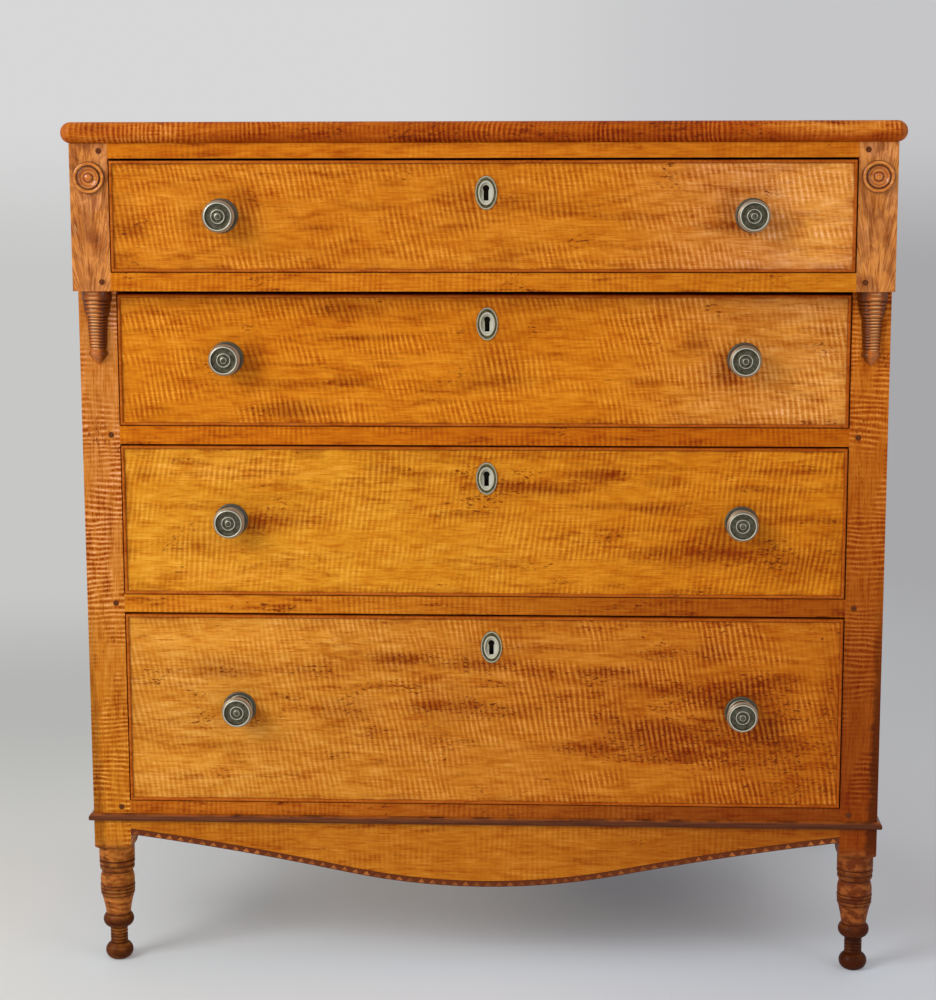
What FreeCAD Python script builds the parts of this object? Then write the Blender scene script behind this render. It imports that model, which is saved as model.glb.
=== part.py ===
import FreeCAD, Part
import math
import operator
import os

import Sketcher

# A chest of four graduated drawers. The corner posts and their turned legs are one piece each; the
# upper stage, with the top drawer, stands forward of the three lower drawers and is carried on two
# corner blocks and half-round pendants.
# X runs to the right, -Y to the front and +Z up. The origin is on the floor, at the middle of the
# chest's width and depth (its knobs included). All sizes are in millimetres.

document = FreeCAD.newDocument("chest_of_drawers")
sheet = document.addObject("Spreadsheet::Sheet", "sizes")
ALONG_Y = FreeCAD.Rotation(FreeCAD.Vector(1, 0, 0), -90)
ALONG_X = FreeCAD.Rotation(FreeCAD.Vector(0, 1, 0), 90)
UPRIGHT_OVAL = FreeCAD.Rotation(FreeCAD.Vector(1, 1, 1), 240)
LEFT = -1
RIGHT = 1
pieces = {}


# ---------------------------------------------------------------------------------------------
# Sizes: a value that keeps the sheet expression it came from
# ---------------------------------------------------------------------------------------------


class Size:
    """A length together with the sheet expression that gives it."""

    def __init__(self, text, value):
        self.text = text
        self.value = float(value)

    def __add__(self, other):
        return combined(self, "+", other, operator.add)

    def __radd__(self, other):
        return combined(other, "+", self, operator.add)

    def __sub__(self, other):
        return combined(self, "-", other, operator.sub)

    def __rsub__(self, other):
        return combined(other, "-", self, operator.sub)

    def __mul__(self, other):
        return combined(self, "*", other, operator.mul)

    def __rmul__(self, other):
        return combined(other, "*", self, operator.mul)

    def __truediv__(self, other):
        return combined(self, "/", other, operator.truediv)

    def __neg__(self):
        return combined(0, "-", self, operator.sub)


def as_size(value):
    """A plain number becomes a Size whose expression is the number itself."""
    if isinstance(value, Size):
        return value
    return Size(f"({value:g})" if value < 0 else f"{value:g}", value)


def combined(left, sign, right, work):
    left, right = as_size(left), as_size(right)
    return Size(f"({left.text} {sign} {right.text})", work(left.value, right.value))


def root(size):
    """The square root of an area, as a length."""
    return Size(f"sqrt({size.text})", math.sqrt(size.value))


cells = []


def drive(alias, value, note):
    """Writes one driving dimension to the sheet and returns it as a Size."""
    cells.append(alias)
    row = len(cells)
    sheet.set(f"A{row}", alias)
    sheet.set(f"B{row}", f"{value:g}")
    sheet.setAlias(f"B{row}", alias)
    sheet.set(f"C{row}", note)
    return Size(f"{sheet.Name}.{alias}", value)


# ---------------------------------------------------------------------------------------------
# Driving dimensions
# ---------------------------------------------------------------------------------------------

case_width = drive("case_width", 1020, "over the corner posts")
case_depth = drive("case_depth", 580, "lower front plane to the back")
stage_reach = drive("stage_reach", 30, "how far the upper stage stands forward")
post_size = drive("post_size", 48, "square of the corner posts")
base_height = drive("base_height", 223.5, "floor to the bottom drawer's opening")
divider_height = drive("divider_height", 23, "rails between the drawers")
divider_depth = drive("divider_depth", 60, "front to back, behind the lower front plane")
top_rail_height = drive("top_rail_height", 18.5, "rail over the top drawer")
bottom_rail_height = drive("bottom_rail_height", 17, "rail under the bottom drawer")
top_thickness = drive("top_thickness", 26, "top board")
top_overhang = drive("top_overhang", 10.5, "past the case at the front and the ends")
top_corner = drive("top_corner", 14, "plan radius of the top board's front corners")

peg_radius = drive("peg_radius", 3.6, "joint pegs")
peg_inset = drive("peg_inset", 11, "peg centre from the shoulder of its joint")
peg_depth = drive("peg_depth", 30, "peg length inside a front post")
end_peg_depth = drive("end_peg_depth", 22, "peg length inside a post from the end")
peg_proud = drive("peg_proud", 0.4, "peg ends stand out by this")
tenon_wall = drive("tenon_wall", 24, "wood of a post beyond the end of a tenon")
tenon_thickness = drive("tenon_thickness", 28, "front rails' tenons, front to back")
tenon_setback = drive("tenon_setback", 10, "tenon behind the lower front plane")
tenon_shoulder = drive("tenon_shoulder", 4, "shoulder above and below a tenon")

end_rail_thickness = drive("end_rail_thickness", 20, "end rails, flush with the posts")
end_top_rail_height = drive("end_top_rail_height", 34, "upper end rails")
end_base_rail_height = drive("end_base_rail_height", 52, "lower end rails")
end_rail_drop = drive("end_rail_drop", 26.5, "lower end rails below the bottom rail")
end_tenon_thickness = drive("end_tenon_thickness", 10, "end rails' tenons")
panel_recess = drive("panel_recess", 6, "end panels behind the posts' outer face")
panel_tongue = drive("panel_tongue", 8, "end panels' edges in their grooves")
back_rail_thickness = drive("back_rail_thickness", 24, "back rails")
back_rail_height = drive("back_rail_height", 40, "back rails")
back_board_thickness = drive("back_board_thickness", 12, "back boards")
back_board_rebate = drive("back_board_rebate", 10, "back boards' ends in the rear posts")
back_board_gap = drive("back_board_gap", 1, "between back boards")

runner_height = drive("runner_height", 20, "drawer runners")
runner_reach = drive("runner_reach", 22, "runners past the posts' inner face")
guide_height = drive("guide_height", 20, "drawer guides above their runners")
stop_width = drive("stop_width", 40, "drawer stops")
stop_depth = drive("stop_depth", 20, "drawer stops")
stop_height = drive("stop_height", 6, "drawer stops")
stop_inset = drive("stop_inset", 100, "stop centre from the opening's end")

roundel_radius = drive("roundel_radius", 20, "turned roundels")
roundel_drop = drive("roundel_drop", 42, "roundel centre below the top board")
pendant_radius = drive("pendant_radius", 18.8, "pendants at their head")
pendant_head = drive("pendant_head", 13, "plain head of a pendant")
pendant_bell = drive("pendant_bell", 21, "stepped rings below the head")
pendant_bell_foot = drive("pendant_bell_foot", 15, "radius at the foot of the stepped rings")
pendant_stem = drive("pendant_stem", 39, "fine rings of the stem")
pendant_stem_radius = drive("pendant_stem_radius", 13.2, "stem at its top")
pendant_stem_foot = drive("pendant_stem_foot", 10.8, "stem at its foot")
pendant_collar = drive("pendant_collar", 12.3, "collar above the tip")
pendant_tip = drive("pendant_tip", 22, "neck, collar and pointed tip")

foot_radius = drive("foot_radius", 18.2, "bun foot")
foot_base = drive("foot_base", 11, "radius of the flat under the foot")
foot_height = drive("foot_height", 22, "bun foot")
ankle_radius = drive("ankle_radius", 10.6, "ringed ankle above the foot")
ankle_height = drive("ankle_height", 21.5, "ringed ankle")
collar_radius = drive("collar_radius", 20, "ball collar above the ankle")
collar_height = drive("collar_height", 19, "ball collar")
shin_radius = drive("shin_radius", 16, "lower end of the taper")
shin_height = drive("shin_height", 27, "taper above the collar")
vase_radius = drive("vase_radius", 22.2, "vase at its rings")
vase_rings = drive("vase_rings", 14, "three rings round the vase")
vase_neck_radius = drive("vase_neck_radius", 19.6, "under the upper rings")
vase_height = drive("vase_height", 19, "vase above its rings")
neck_rings = drive("neck_rings", 15, "two rings under the neck")
neck_radius = drive("neck_radius", 23.4, "turned neck under the square")
neck_height = drive("neck_height", 20.5, "turned neck under the square")
shoulder_height = drive("shoulder_height", 6, "rounded end of the square")

apron_drop = drive("apron_drop", 94.5, "apron at its middle")
apron_belly = drive("apron_belly", 179, "half width of the apron's belly")
apron_belly_rise = drive("apron_belly_rise", 18, "rise of the edge over the belly")
apron_end_rise = drive("apron_end_rise", 65.5, "rise of the edge at the posts")
apron_end_radius = drive("apron_end_radius", 4200, "hollow ends of the apron's edge")
apron_thickness = drive("apron_thickness", 20, "apron board")
band_width = drive("band_width", 8, "inlaid banding along the apron's edge")
band_thickness = drive("band_thickness", 1.5, "inlaid banding")
bead_height = drive("bead_height", 9.5, "base bead")
bead_reach = drive("bead_reach", 6, "base bead")

side_gap = drive("side_gap", 1.7, "between a drawer and the posts")
bottom_gap = drive("bottom_gap", 1.2, "under a drawer front")
front_thickness = drive("front_thickness", 22, "drawer fronts")
cock_bead = drive("cock_bead", 3.5, "thickness of the cock beads")
cock_bead_proud = drive("cock_bead_proud", 2.5, "cock beads in front of the drawer front")
drawer_side = drive("drawer_side", 12, "thickness of drawer sides and backs")
tail_length = drive("tail_length", 14, "dovetails in the drawer fronts")
drawer_end_gap = drive("drawer_end_gap", 52, "behind the drawers, to the back")
side_drop = drive("side_drop", 10, "drawer sides below the top of the opening")
floor_height = drive("floor_height", 10, "under a drawer's bottom board")
floor_thickness = drive("floor_thickness", 7, "drawer bottoms")
floor_groove = drive("floor_groove", 6, "depth of the drawer bottoms' grooves")

knob_reach = drive("knob_reach", 29, "knobs in front of the drawer front")
knob_radius = drive("knob_radius", 20.3, "knobs")
rosette_radius = drive("rosette_radius", 21.5, "plates behind the knobs")
rosette_thickness = drive("rosette_thickness", 3, "plates behind the knobs")
shank_radius = drive("shank_radius", 4, "threaded shanks of the knobs")
shank_play = drive("shank_play", 0.25, "round a shank, in its hole")
nut_radius = drive("nut_radius", 8, "nuts inside the drawers")
nut_thickness = drive("nut_thickness", 5, "nuts inside the drawers")
shank_end = drive("shank_end", 3, "shank past its nut")

key_drop = drive("key_drop", 42.5, "escutcheon centre below the opening's top")
key_rise = drive("key_rise", 5.5, "keyhole's eye above the escutcheon's centre")
key_eye = drive("key_eye", 4, "radius of the keyhole's eye")
key_slot = drive("key_slot", 6, "width of the keyhole's slot")
key_length = drive("key_length", 15, "eye centre to the foot of the slot")
plate_width = drive("plate_width", 27, "escutcheons")
plate_height = drive("plate_height", 41.5, "escutcheons")
plate_thickness = drive("plate_thickness", 1.4, "escutcheons")
oval_width = drive("oval_width", 18, "raised oval of the escutcheons")
oval_height = drive("oval_height", 31, "raised oval of the escutcheons")
oval_rim = drive("oval_rim", 1.6, "width of the raised oval's rim")
oval_reach = drive("oval_reach", 2.9, "raised oval in front of the drawer")
pin_radius = drive("pin_radius", 1.2, "escutcheon pins")
pin_reach = drive("pin_reach", 2.1, "escutcheon pins in front of the drawer")
pin_depth = drive("pin_depth", 8, "escutcheon pins in the drawer front")
pin_place = drive("pin_place", 17.6, "pins above and below the centre")

lock_width = drive("lock_width", 62, "lock cases")
lock_thickness = drive("lock_thickness", 10, "lock cases")
lock_foot = drive("lock_foot", 20, "lock case below the keyhole's eye")
lock_plate = drive("lock_plate", 2, "walls of a lock case")
lock_bolt_width = drive("lock_bolt_width", 24, "lock bolts")
lock_bolt_thickness = drive("lock_bolt_thickness", 4.5, "lock bolts")
lock_bolt_length = drive("lock_bolt_length", 25, "lock bolts")
lock_play = drive("lock_play", 0.3, "round a lock bolt in its case")
bolt_throw = drive("bolt_throw", 10, "travel of a lock bolt")
mortise_play = drive("mortise_play", 1, "round a lock bolt in the rail")
notch_width = drive("notch_width", 10, "key notch in a lock bolt")
notch_height = drive("notch_height", 5, "key notch in a lock bolt")

# Each drawer has its own opening, its own gap under the rail above, hand-set knobs (from the middle
# to each side) and a lock a little to the right of the middle. The top drawer is number 1.
DRAWER_SIZES = {
    1: {"opening": 141, "top_gap": 3, "knob_left": 322, "knob_right": 334, "lock": 7, "tails": 2},
    2: {"opening": 173.5, "top_gap": 6, "knob_left": 323, "knob_right": 329, "lock": 7, "tails": 3},
    3: {"opening": 196, "top_gap": 2.5, "knob_left": 321, "knob_right": 329, "lock": 6, "tails": 3},
    4: {"opening": 252.5, "top_gap": 3, "knob_left": 315, "knob_right": 333, "lock": 12, "tails": 4},
}
DRAWER_NOTES = {
    "opening": "height of the drawer's opening",
    "top_gap": "over the drawer front",
    "knob_left": "left knob from the middle",
    "knob_right": "right knob from the middle",
    "lock": "lock to the right of the middle",
}


# ---------------------------------------------------------------------------------------------
# Levels and planes that the pieces share
# ---------------------------------------------------------------------------------------------


class Drawer:
    """The sizes of one drawer, with its place in the case."""

    def __init__(self, number):
        data = DRAWER_SIZES[number]
        self.number = number
        self.tails = data["tails"]
        for key, note in DRAWER_NOTES.items():
            setattr(self, key, drive(f"{key}_{number}", data[key], f"drawer {number}: {note}"))
        self.front_top = self.opening - self.top_gap
        self.side_top = self.opening - side_drop
        self.eye = self.opening - key_drop + key_rise


drawers = {number: Drawer(number) for number in DRAWER_SIZES}

half_width = case_width / 2
inner_x = half_width - post_size
front_y = -(case_depth - stage_reach - knob_reach) / 2
stage_y = front_y - stage_reach
back_y = front_y + case_depth
inner_front_y = front_y + post_size
inner_back_y = back_y - post_size
tenon_length = post_size - tenon_wall

level = base_height
for number in (4, 3, 2, 1):
    drawers[number].floor = level
    drawers[number].ceiling = level + drawers[number].opening
    drawers[number].front_y = stage_y if number == 1 else front_y
    level = drawers[number].ceiling + divider_height
case_top = drawers[1].ceiling + top_rail_height
block_bottom = drawers[2].ceiling
apron_top = base_height - bottom_rail_height
apron_low = apron_top - apron_drop
end_rail_bottom = apron_top - end_rail_drop

foot_top = foot_height
ankle_top = foot_top + ankle_height
collar_top = ankle_top + collar_height
shin_top = collar_top + shin_height
rings_top = shin_top + vase_rings
vase_top = rings_top + vase_height
neck_bottom = vase_top + neck_rings
leg_height = neck_bottom + neck_height

drawer_half = inner_x - side_gap
drawer_lower_depth = case_depth - drawer_end_gap


# ---------------------------------------------------------------------------------------------
# Ways of making a piece
# ---------------------------------------------------------------------------------------------


def bind(item, path, size):
    item.setExpression(path, as_size(size).text)


def put(item, place):
    """Sets an object's Placement to a point given by three sizes."""
    for axis, size in zip("xyz", place):
        bind(item, f"Placement.Base.{axis}", size)
    return item


def keep(item, label):
    """Names a finished sub-part."""
    item.Label = label
    pieces[label] = item
    return item


def box(name, low, extent):
    item = document.addObject("Part::Box", name)
    for path, size in zip(("Length", "Width", "Height"), extent):
        bind(item, path, size)
    return put(item, low)


def rod(name, radius, length, start, rotation):
    item = document.addObject("Part::Cylinder", name)
    item.Placement = FreeCAD.Placement(FreeCAD.Vector(), rotation)
    bind(item, "Radius", radius)
    bind(item, "Height", length)
    return put(item, start)


def group(name, members):
    item = document.addObject("Part::Compound", name)
    item.Links = members
    return item


def fuse(name, first, second):
    item = document.addObject("Part::Fuse", name)
    item.Base = first
    item.Tool = second
    item.Refine = True
    return item


def cut(name, base, tools):
    """The base less every tool; a mating piece used as the tool leaves its own exact socket."""
    item = document.addObject("Part::Cut", name)
    item.Base = base
    item.Tool = group(f"{name}_tools", tools) if len(tools) > 1 else tools[0]
    return item


def new_body(name):
    return document.addObject("PartDesign::Body", name)


def new_sketch(body, plane_role):
    sketch = body.newObject("Sketcher::SketchObject", f"{body.Name}_sketch")
    plane = next(item for item in body.Origin.OriginFeatures if item.Role == plane_role)
    sketch.AttachmentSupport = [(plane, "")]
    sketch.MapMode = "FlatFace"
    return sketch


def arc_between(start, end, bulge):
    """An arc that bows to the right of the way from start to end by the bulge."""
    chord = end - start
    side = FreeCAD.Vector(chord.y, -chord.x, 0).normalize()
    middle = (start + end) / 2 + side * bulge
    return Part.Arc(start, middle, end)


def outline(sketch, points):
    """Draws a closed outline. A point is (x, y), or (x, y, bulge) where the side that ends there is
    an arc; the bulge is how far the arc bows to the right of its way."""
    spots = [FreeCAD.Vector(as_size(p[0]).value, as_size(p[1]).value, 0) for p in points]
    sides = []
    for index, point in enumerate(points):
        start, end = spots[index - 1], spots[index]
        bulge = as_size(point[2]) if len(point) > 2 else None
        shape = arc_between(start, end, bulge.value) if bulge else Part.LineSegment(start, end)
        sides.append(sketch.addGeometry(shape))
        if bulge:
            before = points[index - 1]
            run = as_size(point[0]) - before[0]
            rise = as_size(point[1]) - before[1]
            chord_square = run * run + rise * rise
            swell = bulge if bulge.value > 0 else -bulge
            radius = (chord_square / 4 + swell * swell) / (2 * swell)
            held = sketch.addConstraint(Sketcher.Constraint("Radius", sides[-1], radius.value))
            bind(sketch, f"Constraints[{held}]", radius)

    def end_of(side, spot):
        return 1 if sketch.getPoint(side, 1).distanceToPoint(spot) < 1e-6 else 2

    for index, point in enumerate(points):
        spot = spots[index]
        ending, starting = sides[index], sides[(index + 1) % len(sides)]
        at_end, at_start = end_of(ending, spot), end_of(starting, spot)
        sketch.addConstraint(
            Sketcher.Constraint("Coincident", ending, at_end, starting, at_start)
        )
        for kind, axis, size in (("DistanceX", -2, point[0]), ("DistanceY", -1, point[1])):
            size = as_size(size)
            if size.text == "0":
                sketch.addConstraint(Sketcher.Constraint("PointOnObject", ending, at_end, axis))
            else:
                measure = Sketcher.Constraint(kind, -1, 1, ending, at_end, size.value)
                held = sketch.addConstraint(measure)
                bind(sketch, f"Constraints[{held}]", size)


def padded(name, plane_role, points, length):
    """A body: an outline on one of its origin planes, padded along that plane's normal."""
    body = new_body(name)
    sketch = new_sketch(body, plane_role)
    outline(sketch, points)
    pad = body.newObject("PartDesign::Pad", f"{name}_pad")
    pad.Profile = sketch
    bind(pad, "Length", length)
    return body


def turned(name, plane_role, points, angle=360):
    """A body turned about the upright line of its sketch."""
    body = new_body(name)
    sketch = new_sketch(body, plane_role)
    outline(sketch, points)
    turning = body.newObject("PartDesign::Revolution", f"{name}_turning")
    turning.Profile = sketch
    turning.ReferenceAxis = (sketch, ["V_Axis"])
    turning.Angle = angle
    turning.Midplane = angle < 360
    return body


def rounded(body, radius, wanted):
    """Fillets the edges of the body's last feature whose middle passes the test."""
    document.recompute()
    base = body.Tip
    names = [
        f"Edge{index}"
        for index, edge in enumerate(base.Shape.Edges, 1)
        if wanted(edge.CenterOfMass, edge)
    ]
    fillet = body.newObject("PartDesign::Fillet", f"{body.Name}_round{len(body.Group)}")
    fillet.Base = (base, names)
    bind(fillet, "Radius", radius)
    body.Tip = fillet
    return body


def rings(start, end, count, swell):
    """Points of a row of turned rings between two (radius, height) ends, the start left out."""
    points = []
    for step in range(1, count + 1):
        part = step / count
        radius = start[0] + (as_size(end[0]) - start[0]) * part
        height = start[1] + (as_size(end[1]) - start[1]) * part
        points.append((radius, height, swell))
    return points


def near(value, size):
    return abs(value - as_size(size).value) < 0.01


def from_end(side, outer, inner):
    """The lower X and the extent of a slab between two depths in from a case end."""
    low = -half_width + outer if side == LEFT else half_width - inner
    return low, inner - outer


# ---------------------------------------------------------------------------------------------
# The case
# ---------------------------------------------------------------------------------------------


def make_joint_pegs():
    """Pegs through the posts into the tenons of the front rails and the end rails."""
    pegs = []
    joints = [
        (case_top - top_rail_height / 2, stage_y),
        (drawers[1].floor - divider_height / 2, stage_y),
        (drawers[2].floor - divider_height / 2, front_y),
        (drawers[3].floor - divider_height / 2, front_y),
        (drawers[4].floor - bottom_rail_height / 2, front_y),
    ]
    for side in (LEFT, RIGHT):
        for height, face_y in joints:
            start = (side * (inner_x + peg_inset), face_y - peg_proud, height)
            length = front_y + peg_depth - face_y + peg_proud
            pegs.append(rod("front_peg", peg_radius, length, start, ALONG_Y))
        end_heights = (
            case_top - end_top_rail_height / 2,
            end_rail_bottom + end_base_rail_height * 3 / 4,
        )
        for height in end_heights:
            for peg_y in (inner_front_y - peg_inset, inner_back_y + peg_inset):
                low, length = from_end(side, -peg_proud, end_peg_depth)
                pegs.append(rod("end_peg", peg_radius, length, (low, peg_y, height), ALONG_X))
    return keep(group("joint_pegs", pegs), "joint_pegs")


def front_rail(label, face_y, back, bottom, height, pegs, drawer=None):
    """A rail between the front posts, tenoned and pegged, with the mortise of the lock below."""
    low = (-inner_x, face_y, bottom)
    rail = box(f"{label}_board", low, (2 * inner_x, back - face_y, height))
    tenon_low = (-inner_x - tenon_length, front_y + tenon_setback, bottom + tenon_shoulder)
    tenon_extent = (
        2 * (inner_x + tenon_length),
        tenon_thickness,
        height - 2 * tenon_shoulder,
    )
    tenons = box(f"{label}_tenons", tenon_low, tenon_extent)
    tools = [pegs]
    if drawer:
        tools.append(lock_mortise(drawer))
    return keep(cut(label, fuse(f"{label}_blank", rail, tenons), tools), label)


def lock_mortise(drawer):
    """The mortise that a thrown lock bolt enters, in the rail over its drawer."""
    width = lock_bolt_width + 2 * mortise_play
    depth = lock_bolt_thickness + 2 * mortise_play
    low = (
        drawer.lock - width / 2,
        drawer.front_y + front_thickness - lock_thickness + lock_plate + lock_play - mortise_play,
        drawer.ceiling,
    )
    height = bolt_throw - drawer.top_gap + mortise_play
    return box(f"lock_mortise_{drawer.number}", low, (width, depth, height))


def make_front_rails(pegs):
    rail_back = front_y + divider_depth
    top_bottom = drawers[1].ceiling
    bottom = base_height - bottom_rail_height
    rails = [
        front_rail(
            "top_rail", stage_y, inner_front_y, top_bottom, top_rail_height, pegs, drawers[1]
        ),
        front_rail("bottom_rail", front_y, rail_back, bottom, bottom_rail_height, pegs),
    ]
    names = {1: "upper_divider", 2: "middle_divider", 3: "lower_divider"}
    for number, label in names.items():
        face_y = stage_y if number == 1 else front_y
        below = drawers[number + 1]
        rails.append(
            front_rail(label, face_y, rail_back, below.ceiling, divider_height, pegs, below)
        )
    return rails


def apron_outline(lift):
    """The apron's face: a belly between two hollow ends, its lower edge raised by the lift."""
    end_height = apron_low + apron_end_rise + lift
    belly_height = apron_low + apron_belly_rise + lift
    run = inner_x - apron_belly
    rise = apron_end_rise - apron_belly_rise
    half_chord_square = (run * run + rise * rise) / 4
    hollow = apron_end_radius - root(apron_end_radius * apron_end_radius - half_chord_square)
    return [
        (-inner_x, apron_top),
        (-inner_x, end_height),
        (-apron_belly, belly_height, -hollow),
        (apron_belly, belly_height, apron_belly_rise),
        (inner_x, end_height, -hollow),
        (inner_x, apron_top),
    ]


def make_apron():
    """The shaped apron under the bottom rail, and the banding let into its lower edge."""
    band = padded("apron_banding", "XZ_Plane", apron_outline(0), band_thickness)
    upper = new_sketch(band, "XZ_Plane")
    outline(upper, apron_outline(band_width))
    trim = band.newObject("PartDesign::Pocket", "apron_banding_trim")
    trim.Profile = upper
    trim.Type = "ThroughAll"
    trim.Midplane = True
    band.Tip = trim
    put(band, (0, front_y + band_thickness, 0))
    keep(band, "apron_banding")

    board = padded("apron_board", "XZ_Plane", apron_outline(0), apron_thickness)
    put(board, (0, front_y + apron_thickness, 0))
    tenon_bottom = apron_low + apron_end_rise + tenon_shoulder
    tenons = box(
        "apron_tenons",
        (-inner_x - tenon_length, front_y + apron_thickness / 3, tenon_bottom),
        (
            2 * (inner_x + tenon_length),
            apron_thickness / 3,
            apron_top - tenon_shoulder - tenon_bottom,
        ),
    )
    return keep(cut("apron", fuse("apron_blank", board, tenons), [band]), "apron")


def make_end_panels():
    panels = []
    for side in (LEFT, RIGHT):
        low_x, thickness = from_end(side, panel_recess, end_rail_thickness)
        low_z = end_rail_bottom + end_base_rail_height - panel_tongue
        low = (low_x, inner_front_y - panel_tongue, low_z)
        depth = inner_back_y - inner_front_y + 2 * panel_tongue
        height = case_top - end_top_rail_height + panel_tongue - low_z
        panels.append(box("end_panel", low, (thickness, depth, height)))
    return keep(group("end_panels", panels), "end_panels")


def make_end_rails(panels, pegs):
    """Upper and lower rails at both ends, tenoned into the posts and grooved for the panels."""
    rails = []
    depth = inner_back_y - inner_front_y
    heights = (
        (end_rail_bottom, end_base_rail_height),
        (case_top - end_top_rail_height, end_top_rail_height),
    )
    tenon_inset = (end_rail_thickness - end_tenon_thickness) / 2
    for side in (LEFT, RIGHT):
        low_x, thickness = from_end(side, 0, end_rail_thickness)
        tenon_x, tenon_wide = from_end(side, tenon_inset, end_rail_thickness - tenon_inset)
        for bottom, height in heights:
            rail = box("end_rail_board", (low_x, inner_front_y, bottom), (thickness, depth, height))
            tenons = box(
                "end_rail_tenons",
                (tenon_x, inner_front_y - tenon_length, bottom + tenon_shoulder),
                (tenon_wide, depth + 2 * tenon_length, height - 2 * tenon_shoulder),
            )
            rails.append(cut("end_rail", fuse("end_rail_blank", rail, tenons), [panels, pegs]))
    return keep(group("end_rails", rails), "end_rails")


def make_back():
    """Two back rails between the rear posts, and the boards nailed over them."""
    rail_y = back_y - back_board_thickness - back_rail_thickness
    rails = []
    for bottom in (end_rail_bottom, case_top - back_rail_height):
        rail = box(
            "back_rail_board",
            (-inner_x, rail_y, bottom),
            (2 * inner_x, back_rail_thickness, back_rail_height),
        )
        tenons = box(
            "back_rail_tenons",
            (-inner_x - tenon_length, rail_y + back_rail_thickness / 4, bottom + tenon_shoulder),
            (
                2 * (inner_x + tenon_length),
                back_rail_thickness / 2,
                back_rail_height - 2 * tenon_shoulder,
            ),
        )
        rails.append(fuse("back_rail", rail, tenons))
    keep(group("back_rails", rails), "back_rails")

    count = 4
    height = (case_top - end_rail_bottom - (count - 1) * back_board_gap) / count
    boards = []
    for index in range(count):
        low = (
            -inner_x - back_board_rebate,
            back_y - back_board_thickness,
            end_rail_bottom + index * (height + back_board_gap),
        )
        extent = (2 * (inner_x + back_board_rebate), back_board_thickness, height)
        boards.append(box("back_board", low, extent))
    return keep(group("back_boards", boards), "back_boards")


def leg_turning(name):
    """The turned leg with the rounded shoulder of the square above it, on its own axis."""
    corner = post_size * 0.75
    foot_mean = (foot_base + ankle_radius) / 2
    collar_mean = (ankle_radius + shin_radius) / 2
    points = [
        (0, 0),
        (foot_base, 0),
        (ankle_radius, foot_top, foot_radius - foot_mean),
    ]
    points += rings((ankle_radius, foot_top), (ankle_radius, ankle_top), 5, 0.9)
    points += [(shin_radius, collar_top, collar_radius - collar_mean)]
    points += [(vase_radius - 0.8, shin_top, -0.6)]
    points += rings((vase_radius - 0.8, shin_top), (vase_radius, rings_top), 3, 0.9)
    flare = (vase_neck_radius + 1.8, vase_top + 1)
    points += [(vase_neck_radius, vase_top, 1.4), flare]
    points += rings(flare, (neck_radius - 0.9, neck_bottom), 2, 1.3)
    points += [
        (neck_radius, neck_bottom + 1.2),
        (neck_radius, leg_height),
        (corner, leg_height + shoulder_height, 3),
        (corner, case_top),
        (0, case_top),
    ]
    return turned(name, "XZ_Plane", points)


def make_post(label, side, post_y, joinery):
    """A corner post and its leg, with the mortises and grooves of what joins it."""
    axis_x = side * (half_width - post_size / 2)
    square = box(
        f"{label}_square", (axis_x - post_size / 2, post_y, 0), (post_size, post_size, case_top)
    )
    turning = put(leg_turning(f"{label}_turning"), (axis_x, post_y + post_size / 2, 0))
    blank = document.addObject("Part::Common", f"{label}_blank")
    blank.Base = square
    blank.Tool = turning
    return keep(cut(label, blank, [joinery]), label)


def make_corner_blocks(pegs):
    """The blocks that carry the upper stage forward of the front posts."""
    blocks = []
    for side in (LEFT, RIGHT):
        low_x, width = from_end(side, 0, post_size)
        low = (low_x, stage_y, block_bottom)
        blocks.append(box("corner_block", low, (width, stage_reach, case_top - block_bottom)))
    return keep(cut("corner_blocks", group("corner_block_blanks", blocks), [pegs]), "corner_blocks")


def make_roundels():
    """Turned discs on the corner blocks: a rounded rim, a groove, a dish and a button."""
    roundels = []
    rim = roundel_radius
    points = [
        (0, -5.4),
        (4.6, -4.2, 0.5),
        (5, -2.2),
        (6.2, -2.2),
        (rim - 7.4, -4.6, -0.9),
        (rim - 6, -4.2, 0.4),
        (rim - 5.4, -2),
        (rim - 4.8, -2),
        (rim, -2.2, 2.6),
        (rim, 0),
        (0, 0),
    ]
    for side in (LEFT, RIGHT):
        roundel = turned("roundel", "XY_Plane", points)
        place = (side * (half_width - post_size / 2), stage_y, case_top - roundel_drop)
        roundels.append(put(roundel, place))
    return keep(group("roundels", roundels), "roundels")


def make_pendants():
    """Split turnings on the posts under the corner blocks: a plain head, stepped rings, a finely
    ringed stem, a collar and a pointed tip."""
    head = pendant_radius
    bell_top = -pendant_head - 1.5
    bell_bottom = -pendant_head - pendant_bell
    stem_bottom = bell_bottom - pendant_stem
    tip = stem_bottom - pendant_tip
    stem_top = (pendant_stem_radius - 0.8, bell_bottom)
    stem_foot = (pendant_stem_foot - 0.6, stem_bottom)
    points = [(0, 0), (0, tip)]
    points += [(pendant_collar - 1.3, stem_bottom - 10, 0.9)]
    points += [(pendant_collar - 1.6, stem_bottom - 4.5, 1.3)]
    points += [(pendant_stem_foot - 0.6, stem_bottom - 3.6), stem_foot]
    points += rings(stem_foot, stem_top, 11, 1.0)
    points += [(pendant_bell_foot, bell_bottom + 1), (pendant_bell_foot, bell_bottom + 4.5, -0.5)]
    points += rings((pendant_bell_foot, bell_bottom + 4.5), (head - 1.6, bell_top), 4, 1.1)
    points += [(head, -pendant_head), (head, 0, 0.4)]
    pendants = []
    for side in (LEFT, RIGHT):
        pendant = turned("pendant", "XZ_Plane", points, 180)
        pendant.Placement = FreeCAD.Placement(
            FreeCAD.Vector(), FreeCAD.Rotation(FreeCAD.Vector(0, 0, 1), -90)
        )
        place = (side * (half_width - post_size / 2), front_y, block_bottom)
        pendants.append(put(pendant, place))
    return keep(group("pendants", pendants), "pendants")


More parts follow.
